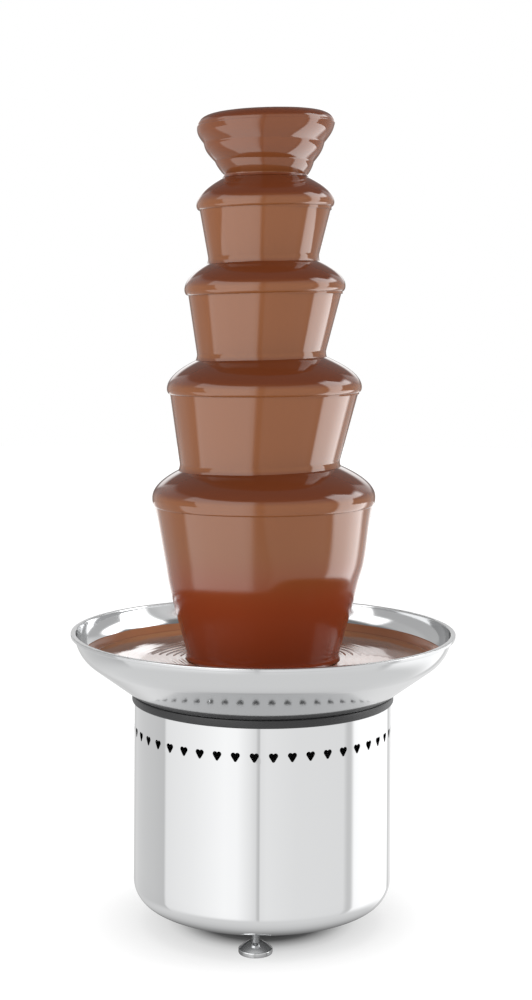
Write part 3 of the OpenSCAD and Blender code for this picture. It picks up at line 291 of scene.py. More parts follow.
# Table top as the pieces mirror it: its brightness follows the studio's lights, more so for the tower.
# Slopes are the upward share of the ray's way to the table, and heights are where on the part it starts.
TABLE_R = 3.0
TABLE_Z = -0.0008
TABLE_REACH = 0.3
TABLE_SHADOW = (
    (0.06, 0.12), (0.09, 0.2), (0.105, 0.32), (0.117, 0.52), (0.127, 0.70), (0.14, 0.84), (0.16, 0.93),
    (0.2, 0.97), (0.26, 1.0), (TABLE_REACH, 1.0),
)
STEEP = (0.38, 0.62)
LIP_STEEP = (0.66, 0.82)
CROWN_FOOT = (0.728, 0.72)
TOWER_FOOT = (0.288, 0.305)
mirror_material, tree, output = new_material("table_light")
geometry = tree.nodes.new("ShaderNodeNewGeometry")
parts = tree.nodes.new("ShaderNodeSeparateXYZ")
link(tree, geometry.outputs["Incoming"], parts.inputs[0])
outwards = [math_node(tree, "MULTIPLY", parts.outputs[axis], -1.0) for axis in ("X", "Y")]
share = turn_share(tree, *outwards)
metal = light_around(tree, share, TABLE_LIGHT, TABLE_SCALE)
metal = mix_values(tree, smooth_step(tree, parts.outputs["Z"], *STEEP), metal, TABLE_BELOW)
tower = light_around(tree, share, STUDIO, STUDIO_SCALE)
path = tree.nodes.new("ShaderNodeLightPath")
start = math_node(tree, "MULTIPLY", path.outputs["Ray Length"], parts.outputs["Z"])
steep = smooth_step(tree, parts.outputs["Z"], *LIP_STEEP)
under_lips = math_node(tree, "MULTIPLY", steep, smooth_step(tree, start, *CROWN_FOOT))
tower = mix_values(tree, under_lips, tower, TOWER_BELOW)
mirrored = mix_values(tree, smooth_step(tree, start, *TOWER_FOOT), metal, tower)
light = tree.nodes.new("ShaderNodeEmission")
strength = math_node(tree, "MULTIPLY", mirrored, by_radius(tree, TABLE_SHADOW))
link(tree, strength, light.inputs["Strength"])
link(tree, light.outputs[0], output.inputs["Surface"])
mirror_material.cycles.emission_sampling = "NONE"
table_light = new_object("table_light", disc_mesh("table_light", TABLE_R, TABLE_Z))
table_light.data.materials.append(mirror_material)
table_light.visible_camera = False
table_light.visible_diffuse = False
table_light.visible_shadow = False


# Materials
ROUGHNESS_DRIFT = 0.2
BUMP_STRENGTH = 0.4
IOR = 1.5


def surface(name, colour, metallic, roughness, vary, scale, bump=0.0):
    """Principled surface whose colour and roughness drift a little over the piece."""
    made, tree, output = new_material(name)
    shader = tree.nodes.new("ShaderNodeBsdfPrincipled")
    shader.inputs["Metallic"].default_value = metallic
    shader.inputs["IOR"].default_value = IOR
    place = tree.nodes.new("ShaderNodeTexCoord")
    noise = tree.nodes.new("ShaderNodeTexNoise")
    noise.inputs["Scale"].default_value = scale
    noise.inputs["Detail"].default_value = 3.0
    link(tree, place.outputs["Object"], noise.inputs["Vector"])
    darker = tuple(c * (1 - vary) for c in colour)
    paler = tuple(min(1.0, c * (1 + vary)) for c in colour)
    link(tree, tint_node(tree, noise.outputs["Fac"], darker, paler), shader.inputs["Base Color"])
    spread = tree.nodes.new("ShaderNodeMapRange")
    spread.inputs["To Min"].default_value = roughness * (1 - ROUGHNESS_DRIFT)
    spread.inputs["To Max"].default_value = roughness * (1 + ROUGHNESS_DRIFT)
    link(tree, noise.outputs["Fac"], spread.inputs["Value"])
    link(tree, spread.outputs["Result"], shader.inputs["Roughness"])
    if bump:
        rough = tree.nodes.new("ShaderNodeBump")
        rough.inputs["Strength"].default_value = BUMP_STRENGTH
        rough.inputs["Distance"].default_value = bump * MM
        link(tree, noise.outputs["Fac"], rough.inputs["Height"])
        link(tree, rough.outputs[0], shader.inputs["Normal"])
    link(tree, shader.outputs[0], output.inputs["Surface"])
    return made


# Chocolate: each range runs from where a tint starts to where it is full. Heights and distances from
# the axis are in metres; the range for faces that look up and LEVEL are the upward share of the surface's
# direction. The red near the pool is painted bounce light, the dark on faces that look up is painted shade,
# and the pale pool is painted light.
THIN = (0.213, 0.070, 0.021)
# Redder low down, by height in the scene: painted bounce light from the pool.
NEAR_POOL_PAINTED_BOUNCE = ((0.378, 0.31), (0.226, 0.038, 0.011))
ON_CROWN = ((0.70, 0.76), (0.175, 0.050, 0.015))
# Darker where the surface faces up: painted shade.
FACING_UP_PAINTED_SHADE = ((0.10, 0.55), (0.130, 0.030, 0.009))
# Paler pool, and paler still towards the bowl's wall: painted light against the shade that the tower and bowl
# cast on it.
POOL_PAINTED_LIGHT_TINT = (0.30, 0.115, 0.055)
POOL_EDGE_PAINTED_LIGHT_TINT = (0.50, 0.23, 0.11)
TIDE_TINT = (0.40, 0.16, 0.07)
POOL_TOP = (0.275, 0.262)
POOL_EDGE = (0.125, 0.165)
TIDE_EDGE = (0.168, 0.171)
LEVEL = (0.8, 0.95)
WET_FOOT = (0.43, 0.35)
WET_ROUGHNESS = 0.15


def chocolate_surface():
    """Wet chocolate: paler where it hangs as a curtain, redder near the pool as painted bounce light, darker
    where it faces up as painted shade, and a paler pool as painted light.
    """
    made = surface("chocolate", THIN, 0.0, 0.05, 0.03, 14)
    tree = made.node_tree
    shader = next(node for node in tree.nodes if node.type == "BSDF_PRINCIPLED")
    colour = shader.inputs["Base Color"].links[0].from_socket
    smooth = shader.inputs["Roughness"].links[0].from_socket
    geometry = tree.nodes.new("ShaderNodeNewGeometry")
    own = tree.nodes.new("ShaderNodeTexCoord")

    def upward(socket):
        parts = tree.nodes.new("ShaderNodeSeparateXYZ")
        link(tree, socket, parts.inputs[0])
        return parts.outputs["Z"]

    own_height = upward(own.outputs["Object"])
    height = upward(geometry.outputs["Position"])
    facing = upward(geometry.outputs["Normal"])
    radius = from_axis(tree)
    flat = smooth_step(tree, facing, *LEVEL)
    pool = math_node(tree, "MULTIPLY", smooth_step(tree, own_height, *POOL_TOP), flat)
    pool_edge_painted_light = math_node(tree, "MULTIPLY", pool, smooth_step(tree, radius, *POOL_EDGE))
    for share, tint in (
        (smooth_step(tree, height, *NEAR_POOL_PAINTED_BOUNCE[0]), NEAR_POOL_PAINTED_BOUNCE[1]),
        (smooth_step(tree, own_height, *ON_CROWN[0]), ON_CROWN[1]),
        (smooth_step(tree, facing, *FACING_UP_PAINTED_SHADE[0]), FACING_UP_PAINTED_SHADE[1]),
        (pool, POOL_PAINTED_LIGHT_TINT),
        (pool_edge_painted_light, POOL_EDGE_PAINTED_LIGHT_TINT),
        (smooth_step(tree, radius, *TIDE_EDGE), TIDE_TINT),
    ):
        colour = tint_node(tree, share, colour, tint)
    link(tree, colour, shader.inputs["Base Color"])
    foot = smooth_step(tree, own_height, *WET_FOOT)
    curtain = math_node(tree, "MULTIPLY", foot, math_node(tree, "SUBTRACT", 1.0, flat))
    link(tree, mix_values(tree, curtain, smooth, WET_ROUGHNESS), shader.inputs["Roughness"])
    return made


# Other looks: colour, metallic, roughness, how far colour drifts, the drift's scale and bumps in mm
SURFACES = {
    "polished_steel": ((0.64, 0.645, 0.65), 1.0, 0.025, 0.01, 8),
    "bowl_steel": ((0.57, 0.575, 0.58), 1.0, 0.10, 0.01, 8),
    "rim_steel": ((0.55, 0.555, 0.56), 1.0, 0.32, 0.02, 60),
    # Near-black steel for the drum's inside: painted shade.
    "inside_painted_shade": ((0.07, 0.07, 0.072), 0.6, 0.55, 0.05, 40),
    # Plain steel and aluminium are darker than bare metal: painted shade for the drum's shaded underside and
    # inside.
    "plain_steel": ((0.42, 0.425, 0.43), 1.0, 0.34, 0.07, 90),
    "dark_steel": ((0.16, 0.13, 0.11), 0.7, 0.45, 0.12, 200),
    "foot_steel": ((0.70, 0.705, 0.71), 1.0, 0.09, 0.03, 60),
    "aluminium": ((0.36, 0.365, 0.37), 1.0, 0.5, 0.06, 300, 0.06),
    "brass": ((0.64, 0.47, 0.21), 1.0, 0.24, 0.08, 120),
    "black_rubber": ((0.009, 0.009, 0.010), 0.0, 0.42, 0.15, 500, 0.05),
    "black_plastic": ((0.022, 0.022, 0.024), 0.0, 0.34, 0.12, 600, 0.03),
    "pale_plastic": ((0.70, 0.67, 0.60), 0.0, 0.45, 0.04, 250, 0.03),
    "red_plastic": ((0.52, 0.022, 0.016), 0.0, 0.16, 0.05, 120),
}
LOOKS = {name: surface(name, *look) for name, look in SURFACES.items()}
LOOKS["chocolate"] = chocolate_surface()
slot_of = {row["node"]: row["material_slot"] for row in frame["record"]["subparts"]}


def dress(obj, slot_name):
    obj.data.materials.clear()
    obj.data.materials.append(LOOKS[slot_name])


def shade(obj, sharp):
    """Smooth faces with an edge kept wherever two of them turn by more than an angle."""
    mesh = obj.data
    mesh.polygons.foreach_set("use_smooth", [True] * len(mesh.polygons))
    mesh.set_sharp_from_angle(angle=math.radians(sharp))


CAD_SHARP = 30
for name, node in nodes.items():
    dress(node, slot_of[name])
    shade(node, CAD_SHARP)
# Seen through the vents: near-black steel as painted shade, so the vents look black
nodes["chassis_plate"].data.materials[0] = LOOKS["inside_painted_shade"]


SAME_PLACE = 1e-7


def piece(name, builder, body, slot_name, stands_for, sharp):
    """Object from a bmesh, in a material slot, riding on a CAD body in place of some of its nodes."""
    bmesh.ops.remove_doubles(builder, verts=builder.verts, dist=SAME_PLACE)
    bmesh.ops.recalc_face_normals(builder, faces=builder.faces)
    mesh = bpy.data.meshes.new(name)
    builder.to_mesh(mesh)
    builder.free()
    made = new_object(name, mesh)
    dress(made, slot_name)
    shade(made, sharp)
    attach(made, body)
    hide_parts(*stands_for)
    return made


def turned(profile, steps=288, bend=None, centre=(0.0, 0.0), into=None):
    """Bmesh of a closed profile of (r, z) points turned about an upright axis.

    bend takes a point, an angle and the point's number, and gives (r, z, shift to the camera's right).
    """
    made = into or bmesh.new()
    rings = []
    for i in range(steps):
        a = 2 * math.pi * i / steps
        ring = []
        for k, (r, z) in enumerate(profile):
            side = 0.0
            if bend:
                r, z, side = bend(r, z, a, k)
            x = centre[0] + r * math.cos(a) + side * math.cos(VIEW_AZ)
            y = centre[1] + r * math.sin(a) + side * math.sin(VIEW_AZ)
            ring.append(made.verts.new((x * MM, y * MM, z * MM)))
        rings.append(ring)
    count = len(profile)
    for i in range(steps):
        here, there = rings[i], rings[(i + 1) % steps]
        for k in range(count):
            n = (k + 1) % count
            made.faces.new((here[k], there[k], there[n], here[n]))
    return made


def arc(x, z, radius, start, end, steps):
    """Points on a circle from one angle to another, in degrees."""
    angles = [math.radians(a) for a in span(start, end, steps)]
    return [(x + radius * math.cos(a), z + radius * math.sin(a)) for a in angles]


def span(low, high, steps):
    """Evenly spaced values from low to high, both included."""
    return [low + (high - low) * k / steps for k in range(steps + 1)]


def top_of(node):
    """Height of a CAD node's top in mm."""
    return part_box(node)[1].z / MM


def foot_of(node):
    """Height of a CAD node's underside in mm."""
    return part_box(node)[0].z / MM


# Sizes that the pieces share with the CAD source, with the tiers from the top
SLIP = 0.3
FILM = 3.0
TIER_WALL = 1.2
TIER_EDGE = 5.0
CURTAIN = 2.2
DOME = 26.6
TUBE_R = 30.0
TUBE_WALL = 1.5
COLLAR_WALL = 1.5
LIPS = [68.2, 79.6, 96.3, 110.1]
LANDS = [53.9, 62.8, 78.1, 74.1]
START_R = TUBE_R + SLIP + COLLAR_WALL + SLIP
floor_z = foot_of("tower_posts")
pool_z = top_of("chocolate_pool")


def to_right(a):
    """Share of the way around that lies to the camera's right, less than nought on its left."""
    return math.cos(a - VIEW_AZ)


def dome_rise(lip, r):
    """Height of a dome above its lip, at a radius."""
    return math.sqrt(DOME * (lip - r))


def eased(value, start, end):
    """Smooth step from nought at the start to one at the end."""
    share = min(1.0, max(0.0, (value - start) / (end - start)))
    return share * share * (3 - 2 * share)


def waves(angle, terms):
    """Sum of (count, phase, size) sine waves around the axis."""
    return sum(size * math.sin(count * angle + phase) for count, phase, size in terms)


# Chocolate on the tiers: film, rounded lip, undercut and a curtain that lands on the next tier.
# A tier has a notch under its lip (in and down), a lift on the right, a drift of its curtain's foot
# to the right, a bulge, and a fold that stands out on the right. FOLD_RISE and FOLD_FALL are shares of
# the fall, FOLD_SIDE is how far to the right.
NOTCHES = [(2.8, 4.5), (3.5, 5.5), (3.0, 5.0), (2.0, 8.0)]
TILTS = [2.3, 2.4, 1.4, 1.0]
LEANS = [-2.2, -3.8, -4.7, 0.0]
BULGES = [0.0, 0.0, 0.0, 3.0]
FOLDS = [0.0, 0.0, 0.0, 1.7]
FOLD_RISE = (0.0, 0.38)
FOLD_FALL = (0.52, 0.37)
FOLD_SIDE = (-0.05, 0.35)
FOLD_LEFT = 0.4
TILT_LOSS = 0.85
CURTAIN_TILT = 0.9
LIP_SWAY = 0.3
STEP_IN, STEP_UP = 0.35, 0.15
FLARE_W, FLARE_H = 2.2, 6.0
HIT_RANGE = (0.7, 1.25)
HIT_STEPS = 24
SOFT_SHARP = 50
BULGE_POWER = 1.5
SWAYS = [[(5, 0.7 + i, 0.16), (9, 1.9 * i, 0.10), (17, 2.3 + i, 0.05), (31, i, 0.025)] for i in range(4)]
# Steps along a tier's outline, with the curtain's finer where it lands
DOME_STEPS, LIP_STEPS, BACK_STEPS = 40, 22, 12
CURTAIN_SHARES = [k / 40 for k in range(34)] + span(0.85, 1.0, 16)
TOP_RISES = [dome_rise(lip, START_R) for lip in LIPS]
LIP_HEIGHTS = [top_of(f"chocolate_tier_{i + 1}") - TOP_RISES[i] for i in range(4)]
FEET = [foot_of(f"chocolate_tier_{i + 1}") for i in range(4)]


def dome_point(i, rise, a):
    """Height of a tier's dome at a rise above its lip, a little higher on the right."""
    share = 1 - TILT_LOSS * rise / TOP_RISES[i]
    return LIP_HEIGHTS[i] + rise + TILTS[i] * share * to_right(a)


def landing_height(i, r, a):
    """Height of what a curtain falls on, at a radius and an angle."""
    if i == 3:
        return FEET[3]
    return dome_point(i + 1, dome_rise(LIPS[i + 1], r), a)


def chocolate_tier(i):
    lip = LIPS[i]
    metal = lip - FILM
    lip_z = LIP_HEIGHTS[i]
    land_z = FEET[i]
    notch, drop = NOTCHES[i]
    r_top, z_top = lip - notch - STEP_IN, lip_z - drop + STEP_UP

    def line(t, a):
        """Curtain's outside at a share of its fall: radius, height and shift to the right."""
        bulge = BULGES[i] * max(0.0, math.sin(math.pi * min(t, 1.0))) ** BULGE_POWER
        fold = FOLDS[i] * eased(t, *FOLD_RISE) * eased(t, *FOLD_FALL)
        bulge += fold * ((1 + FOLD_LEFT) * eased(to_right(a), *FOLD_SIDE) - FOLD_LEFT)
        r = r_top + (LANDS[i] - r_top) * t + bulge + waves(a, SWAYS[i])
        z = z_top + (land_z - z_top) * t + CURTAIN_TILT * TILTS[i] * (1 - t) * to_right(a)
        return r, z, LEANS[i] * t

    def hit(a):
        """Share of the fall at which the curtain meets what it lands on."""
        low, high = HIT_RANGE
        for _ in range(HIT_STEPS):
            t = (low + high) / 2
            r, z, side = line(t, a)
            reach = math.hypot(r + side * to_right(a), side * math.sin(a - VIEW_AZ))
            if z > landing_height(i, reach, a):
                low = t
            else:
                high = t
        return low

    falls = {}

    def curtain(share, inset, a):
        """Point of the curtain at a share of its fall; its outside flares where it lands."""
        key = round(a, 6)
        if key not in falls:
            falls[key] = hit(a)
        t = falls[key] * share
        r, z, side = line(t, a)
        if inset:
            return r - inset, z, side
        left = falls[key] * (1 - share) * (z_top - land_z)
        flare = max(0.0, 1 - left / FLARE_H) ** 2
        reach = r + side * to_right(a)
        slump = landing_height(i, reach, a) - landing_height(i, reach + FLARE_W, a)
        return r + FLARE_W * flare, z - slump * flare, side

    profile, rules = [], []

    def add(r, z, rule=None):
        profile.append((r, z))
        rules.append(rule)

    for rise in span(TOP_RISES[i], 0.0, DOME_STEPS):
        add(lip - rise * rise / DOME, lip_z + rise, ("dome", rise))
    for a in span(0, 90, LIP_STEPS)[1:]:
        r = lip - notch * (1 - math.cos(math.radians(a)))
        add(r, lip_z - drop * math.sin(math.radians(a)), ("lip", 0))
    for t in CURTAIN_SHARES:
        add(r_top, z_top, ("curtain", t, 0.0))
    for t in reversed(span(0, 1, BACK_STEPS)):
        add(r_top, z_top, ("curtain", t, CURTAIN))
    edge_z = lip_z - TIER_EDGE - SLIP
    add(metal - TIER_WALL - SLIP, edge_z)
    add(metal + SLIP, edge_z)
    inner = metal + SLIP
    for rise in span(0.0, dome_rise(inner, START_R), BACK_STEPS):
        add(inner - rise * rise / DOME, lip_z + rise)

    def bend(r, z, a, k):
        rule = rules[k]
        if rule is None:
            return r, z, 0.0
        if rule[0] == "curtain":
            return curtain(rule[1], rule[2], a)
        r += LIP_SWAY * waves(a, SWAYS[i])
        if rule[0] == "dome":
            return r, dome_point(i, rule[1], a), 0.0
        return r, z + TILTS[i] * to_right(a), 0.0

    made = turned(profile, bend=bend)
    piece(f"flow_{i + 1}", made, "tower", "chocolate", (f"chocolate_tier_{i + 1}",), SOFT_SHARP)


for i in range(4):
    chocolate_tier(i)


# Chocolate on the crown: a domed filling, a fat rim and a flare with ripples
CROWN_R = 67.9
NECK_R = 41.5
CROWN_H = 50.0
CROWN_WALL = 1.2
FILL_H = 11.2
FILL_DOME = 1.5
SWELL_R = 0.76 * CROWN_R
RIPPLE = 2.0
RIPPLE_LENGTH = 0.37
RIPPLE_FADE = 0.3
FLARE_EASE = 0.5
FLARE_SLOPE = 3.2
CROWN_LIFT = 2.6
BELLY = 1.9
SKIRT = 1.5
SKIRT_GAP = 0.25
CUP_GAP = 1.9
CUP_STEP = 0.6
RIM_RISE = 2.0
WELL_GAP = 2.0
CROWN_SWAY = [(3, 0.4, 0.2), (7, 2.0, 0.12), (13, 1.1, 0.06)]
FILL_STEPS, ROUND_STEPS, FLARE_STEPS, SKIRT_STEPS = 12, 28, 72, 6
INSIDE_EVERY = 6
neck_z = foot_of("chocolate_crown")
crown_rim_z = neck_z + CROWN_H


def crown_radius(z):
    """Radius of the crown's flare at a height, with its ripples."""
    t = (crown_rim_z - z) / CROWN_H
    ripple = RIPPLE * abs(math.sin(math.pi * t / RIPPLE_LENGTH)) * (1 - RIPPLE_FADE * t)
    return CROWN_R + (NECK_R - CROWN_R) * t + ripple + FLARE_EASE * (1 - FLARE_SLOPE * t)


def chocolate_crown():
    cup_z = top_of("tower_tube") + CUP_GAP
    metal_top = crown_rim_z + RIM_RISE + SLIP
    well_z = top_of("auger_core") + WELL_GAP
    profile = [(0.0, crown_rim_z + FILL_H + FILL_DOME)]
    for share in span(0, 1, FILL_STEPS)[1:-1]:
        profile.append((SWELL_R * share, crown_rim_z + FILL_H + FILL_DOME * (1 - share * share)))
    for a in span(90, 0, ROUND_STEPS):
        a = math.radians(a)
        profile.append((SWELL_R + (CROWN_R - SWELL_R) * math.cos(a), crown_rim_z + FILL_H * math.sin(a)))
    outside = span(crown_rim_z, neck_z, FLARE_STEPS)
    inside = outside[::INSIDE_EVERY]
    profile += [(crown_radius(z), z) for z in outside[1:]]
    neck = crown_radius(neck_z)
    shown = len(profile)
    skirt = [(neck + SKIRT * t * t, t) for t in span(0, 1, SKIRT_STEPS)[1:]] + [(neck - FILM, 1.0)]
    profile += skirt
    profile += [(crown_radius(z) - FILM + SLIP, z) for z in reversed(inside)]
    film_in = CROWN_R - FILM + SLIP
    cup_in = CROWN_R - FILM - CROWN_WALL - SLIP
    profile += [(film_in, metal_top), (cup_in, metal_top)]
    profile += [(crown_radius(z) - FILM - CROWN_WALL - SLIP, z) for z in inside if z > cup_z]
    profile += [(crown_radius(cup_z) - FILM - CROWN_WALL - SLIP - CUP_STEP, cup_z)]
    tube_in = TUBE_R - TUBE_WALL
    profile += [(tube_in, cup_z), (tube_in, well_z), (0.0, well_z)]

    def bend(r, z, a, k):
        if shown <= k < shown + len(skirt):
            low = dome_point(0, dome_rise(LIPS[0], r), a) + SKIRT_GAP
            return r, neck_z + (low - neck_z) * z, 0.0
        if k >= shown:
            return r, z, 0.0
        rise = min(1.0, max(0.0, (z - neck_z) / CROWN_H))
        lift = CROWN_LIFT * rise * rise * to_right(a) * min(1.0, r / CROWN_R)
        sway = waves(a, CROWN_SWAY)
        belly = BELLY * math.sin(math.pi * min(1.0, max(0.0, (crown_rim_z - z) / CROWN_H)))
        return max(0.0, r + sway * min(1.0, r / CROWN_R) + belly), z + lift, -belly

    made = turned(profile, bend=bend)
    piece("flow_crown", made, "crown", "chocolate", ("chocolate_crown",), SOFT_SHARP)


chocolate_crown()

# Bowl: a spun sheet with a rounded rim and three weld studs under its floor
BOWL_WALL = 1.2
BOWL_HOLE_R = 18.2
BOWL_FLOOR_R = 105.0
BOWL_SLOPE = math.radians(36)
BEND_R = 38.0
RIM_R = 189.3
RIM_W = 3.5
HEM = 3.2
RIM_EDGE = 0.55
RIM_BAND = 0.7
RIM_EASE, RIM_EASE_MID = 0.5, 0.15
WELD_STUD_R = 2.5
WELD_STUD_TIP = 0.4
WELD_STUD_CIRCLE = 72
WELD_STUD_ANGLES = (0, 120, 240)
CONE_STEPS, SIDE_STEPS = 10, 30
SHEET_STEPS = 320
SHEET_SHARP = 40
bowl_z = floor_z - BOWL_WALL
rim_z = top_of("bowl")
bend_x = RIM_R - RIM_W - BEND_R
bend_z = bowl_z + ((bend_x - BOWL_FLOOR_R) * math.sin(BOWL_SLOPE) + BEND_R) / math.cos(BOWL_SLOPE)


def bowl_line(inset, z_end, steps):
    """Points up the bowl's side from its floor to a height."""
    r = BEND_R - inset
    corner_r = BOWL_FLOOR_R - inset * math.tan(BOWL_SLOPE / 2)
    start = math.degrees(BOWL_SLOPE) - 90
    end = math.degrees(math.asin((z_end - bend_z) / r))
    curve = arc(bend_x, bend_z, r, start, end, steps)
    curve_r, curve_z = curve[0]
    cone = zip(span(corner_r, curve_r, CONE_STEPS), span(bowl_z + inset, curve_z, CONE_STEPS))
    return list(cone)[:-1] + curve


def bowl():
    outside = bowl_line(0.0, rim_z - BOWL_WALL, SIDE_STEPS)
    inside = bowl_line(BOWL_WALL, rim_z - RIM_EASE, SIDE_STEPS)
    inside_r = inside[-1][0]
    profile = [(BOWL_HOLE_R, bowl_z)] + outside
    profile += [(RIM_R - BOWL_WALL, rim_z - BOWL_WALL)]
    profile += arc(RIM_R - BOWL_WALL / 2, rim_z - HEM + BOWL_WALL / 2, BOWL_WALL / 2, 180, 360, 8)
    profile += arc(RIM_R - RIM_EDGE, rim_z - RIM_EDGE, RIM_EDGE, 0, 90, 6)
    profile += [(inside_r + RIM_EASE, rim_z), (inside_r + RIM_EASE_MID, rim_z - RIM_EASE_MID)]
    profile += list(reversed(inside)) + [(BOWL_HOLE_R, floor_z)]
    made = turned(profile, SHEET_STEPS)
    low = foot_of("bowl")
    stud = [(0, low), (WELD_STUD_R - WELD_STUD_TIP, low), (WELD_STUD_R, low + WELD_STUD_TIP)]
    stud += [(WELD_STUD_R, bowl_z), (0, bowl_z)]
    for a in WELD_STUD_ANGLES:
        a = math.radians(a)
        at = (WELD_STUD_CIRCLE * math.cos(a), WELD_STUD_CIRCLE * math.sin(a))
        turned(stud, 24, centre=at, into=made)
    sheet = piece("bowl_sheet", made, "base", "polished_steel", ("bowl",), SHEET_SHARP)
    sheet.data.materials[0] = LOOKS["bowl_steel"]
    sheet.data.materials.append(LOOKS["rim_steel"])
    for face in sheet.data.polygons:
        if face.center.z > (rim_z - RIM_BAND) * MM:
            face.material_index = 1


bowl()


# Pool: ripples spread from the foot of the lowest curtain, and a film stays on the bowl's wall above it
TIDE = 6.5
TIDE_FILM = 0.5
TIDE_STEPS = 10
TIDE_LIP = 0.97
TIDE_WAVES = [(2, 0.3, 0.08), (5, 1.4, 0.03), (11, 0.5, 0.02)]
POOL_STEPS, POOL_SIDE_STEPS = 130, 8
RING_WAVES = [(3, 0.6, 3.0), (7, 2.0, 1.8)]
RING_FADE = 17.0
RING_TURN = 0.85
RING_H = 0.75
DRIFTS = [(0.11, 0.05, 1.0), (-0.06, 0.09, 0.0)]
DRIFT_H = 0.22
DRIFT_FADE = 12.0
POOL_SINK = 0.35
POOL_SWELL = 0.45
POOL_BEAD = 0.4
POOL_SHARP = 60


def chocolate_pool():
    inset = BOWL_WALL + SLIP
    edge = bowl_line(inset, pool_z, POOL_SIDE_STEPS)
    rim = bowl_line(inset + TIDE_FILM, pool_z, POOL_SIDE_STEPS)[-1][0]
    in_r = TUBE_R + SLIP
    tops = [rim - POOL_BEAD] + [rim - (rim - in_r) * (k / POOL_STEPS) for k in range(1, POOL_STEPS + 1)]
    climbs = [(inset, share) for share in span(0.0, 1.0, TIDE_STEPS)[1:]]
    climbs += [(inset + TIDE_FILM, share) for share in span(TIDE_LIP, 0.0, TIDE_STEPS)]
    profile = [(in_r, bowl_z + inset)] + edge
    before = len(profile)
    profile += [(rim, pool_z + TIDE * share) for _, share in climbs] + [(r, pool_z) for r in tops]
    first = before + len(climbs)

    def bend(r, z, a, k):
        if k < before:
            return r, z, 0.0
        if k < first:
            depth, share = climbs[k - before]
            up = pool_z + share * TIDE * (1 + waves(a, TIDE_WAVES))
            return bend_x + math.sqrt((BEND_R - depth) ** 2 - (up - bend_z) ** 2), up, 0.0
        away = r - LANDS[3]
        if away < 0:
            return r, z, 0.0
        x, y = r * math.cos(a), r * math.sin(a)
        ring = away + waves(a, RING_WAVES)
        fade = math.exp(-away / RING_FADE)
        drift = math.prod(math.sin(p * x + q * y + phase) for p, q, phase in DRIFTS)
        edge_fade = min(1.0, (rim - r) / DRIFT_FADE)
        height = RING_H * fade * math.sin(ring * RING_TURN) + DRIFT_H * drift * edge_fade
        return r, z - POOL_SINK + POOL_SWELL * height, 0.0

    made = turned(profile, bend=bend)
    piece("pool_surface", made, "base", "chocolate", ("chocolate_pool",), POOL_SHARP)


chocolate_pool()

# Gasket: a moulded ring with soft edges
DRUM_R = 126.3
DRUM_WALL = 1.2
GASKET_OUT = 2.5
GASKET_IN = 4.0
GASKET_GAP = 0.2
GASKET_SOFT = 0.9
GASKET_FOOT = 1.5
GASKET_BEVEL = 0.4
GASKET_LIP = 0.75
drum_top = top_of("drum_housing")


def gasket():
    out_r = DRUM_R + GASKET_OUT
    in_r = DRUM_R - DRUM_WALL - GASKET_IN
    low = foot_of("rim_gasket")
    high = top_of("rim_gasket")
    slope = math.tan(BOWL_SLOPE)
    along = 90 + math.degrees(BOWL_SLOPE)
    groove_in, groove_out = DRUM_R - DRUM_WALL - GASKET_GAP, DRUM_R + GASKET_GAP
    groove_top = drum_top + GASKET_GAP
    profile = [(in_r, low + GASKET_BEVEL), (in_r + GASKET_BEVEL, low)]
    profile += [(groove_in, low), (groove_in, groove_top)]
    profile += [(groove_out, groove_top), (groove_out, low), (DRUM_R + GASKET_LIP, low)]
    profile += arc(out_r - GASKET_FOOT, low + GASKET_FOOT, GASKET_FOOT, -80, 0, 8)
    soft_z = high - GASKET_SOFT * slope - GASKET_SOFT
    profile += arc(out_r - GASKET_SOFT, soft_z, GASKET_SOFT, 0, along, 10)
    profile += [(in_r, high - (out_r - in_r) * slope)]
    made = turned(profile, SHEET_STEPS)
    piece("gasket_ring", made, "base", "black_rubber", ("rim_gasket",), SHEET_SHARP)


gasket()

# Drum: spun sheet with a row of heart-shaped holes
HEARTS = 45
HEART_W = 8.6
HEART_H = 8.6
LOBE_SHARE, TIP_SHARE = 0.275, 0.17
VENT_DROP = 31.0
VENT_BAND = 8.0
HEART_CLEAR = 0.9
CORNER_R = 22.0
OPENING_R = 78.0
CELL_STEPS = 12
CELL_ROWS = 8
CELL_MERGE = 1e-5
CELL_JOIN = 2e-6
FLOOR_RINGS, WALL_RINGS = 6, 16


def heart_outline():
    """Points around a plump heart with its tip down, centred on its height."""
    lobe, tip = HEART_W * LOBE_SHARE, HEART_W * TIP_SHARE
    lobe_x = HEART_W / 2 - lobe
    tip_y = HEART_H - lobe - tip
    lean = math.degrees(math.atan2(tip_y, lobe_x) - math.acos((tip - lobe) / math.hypot(lobe_x, tip_y)))
    dip = math.degrees(math.acos(-lobe_x / lobe))
    right = arc(0.0, -tip_y, tip, -90, lean, 6) + arc(lobe_x, 0.0, lobe, lean, dip, 14)
    left = [(-x, y) for x, y in reversed(right[1:-1])]
    return [(x, y + HEART_H / 2 - lobe) for x, y in right + left]


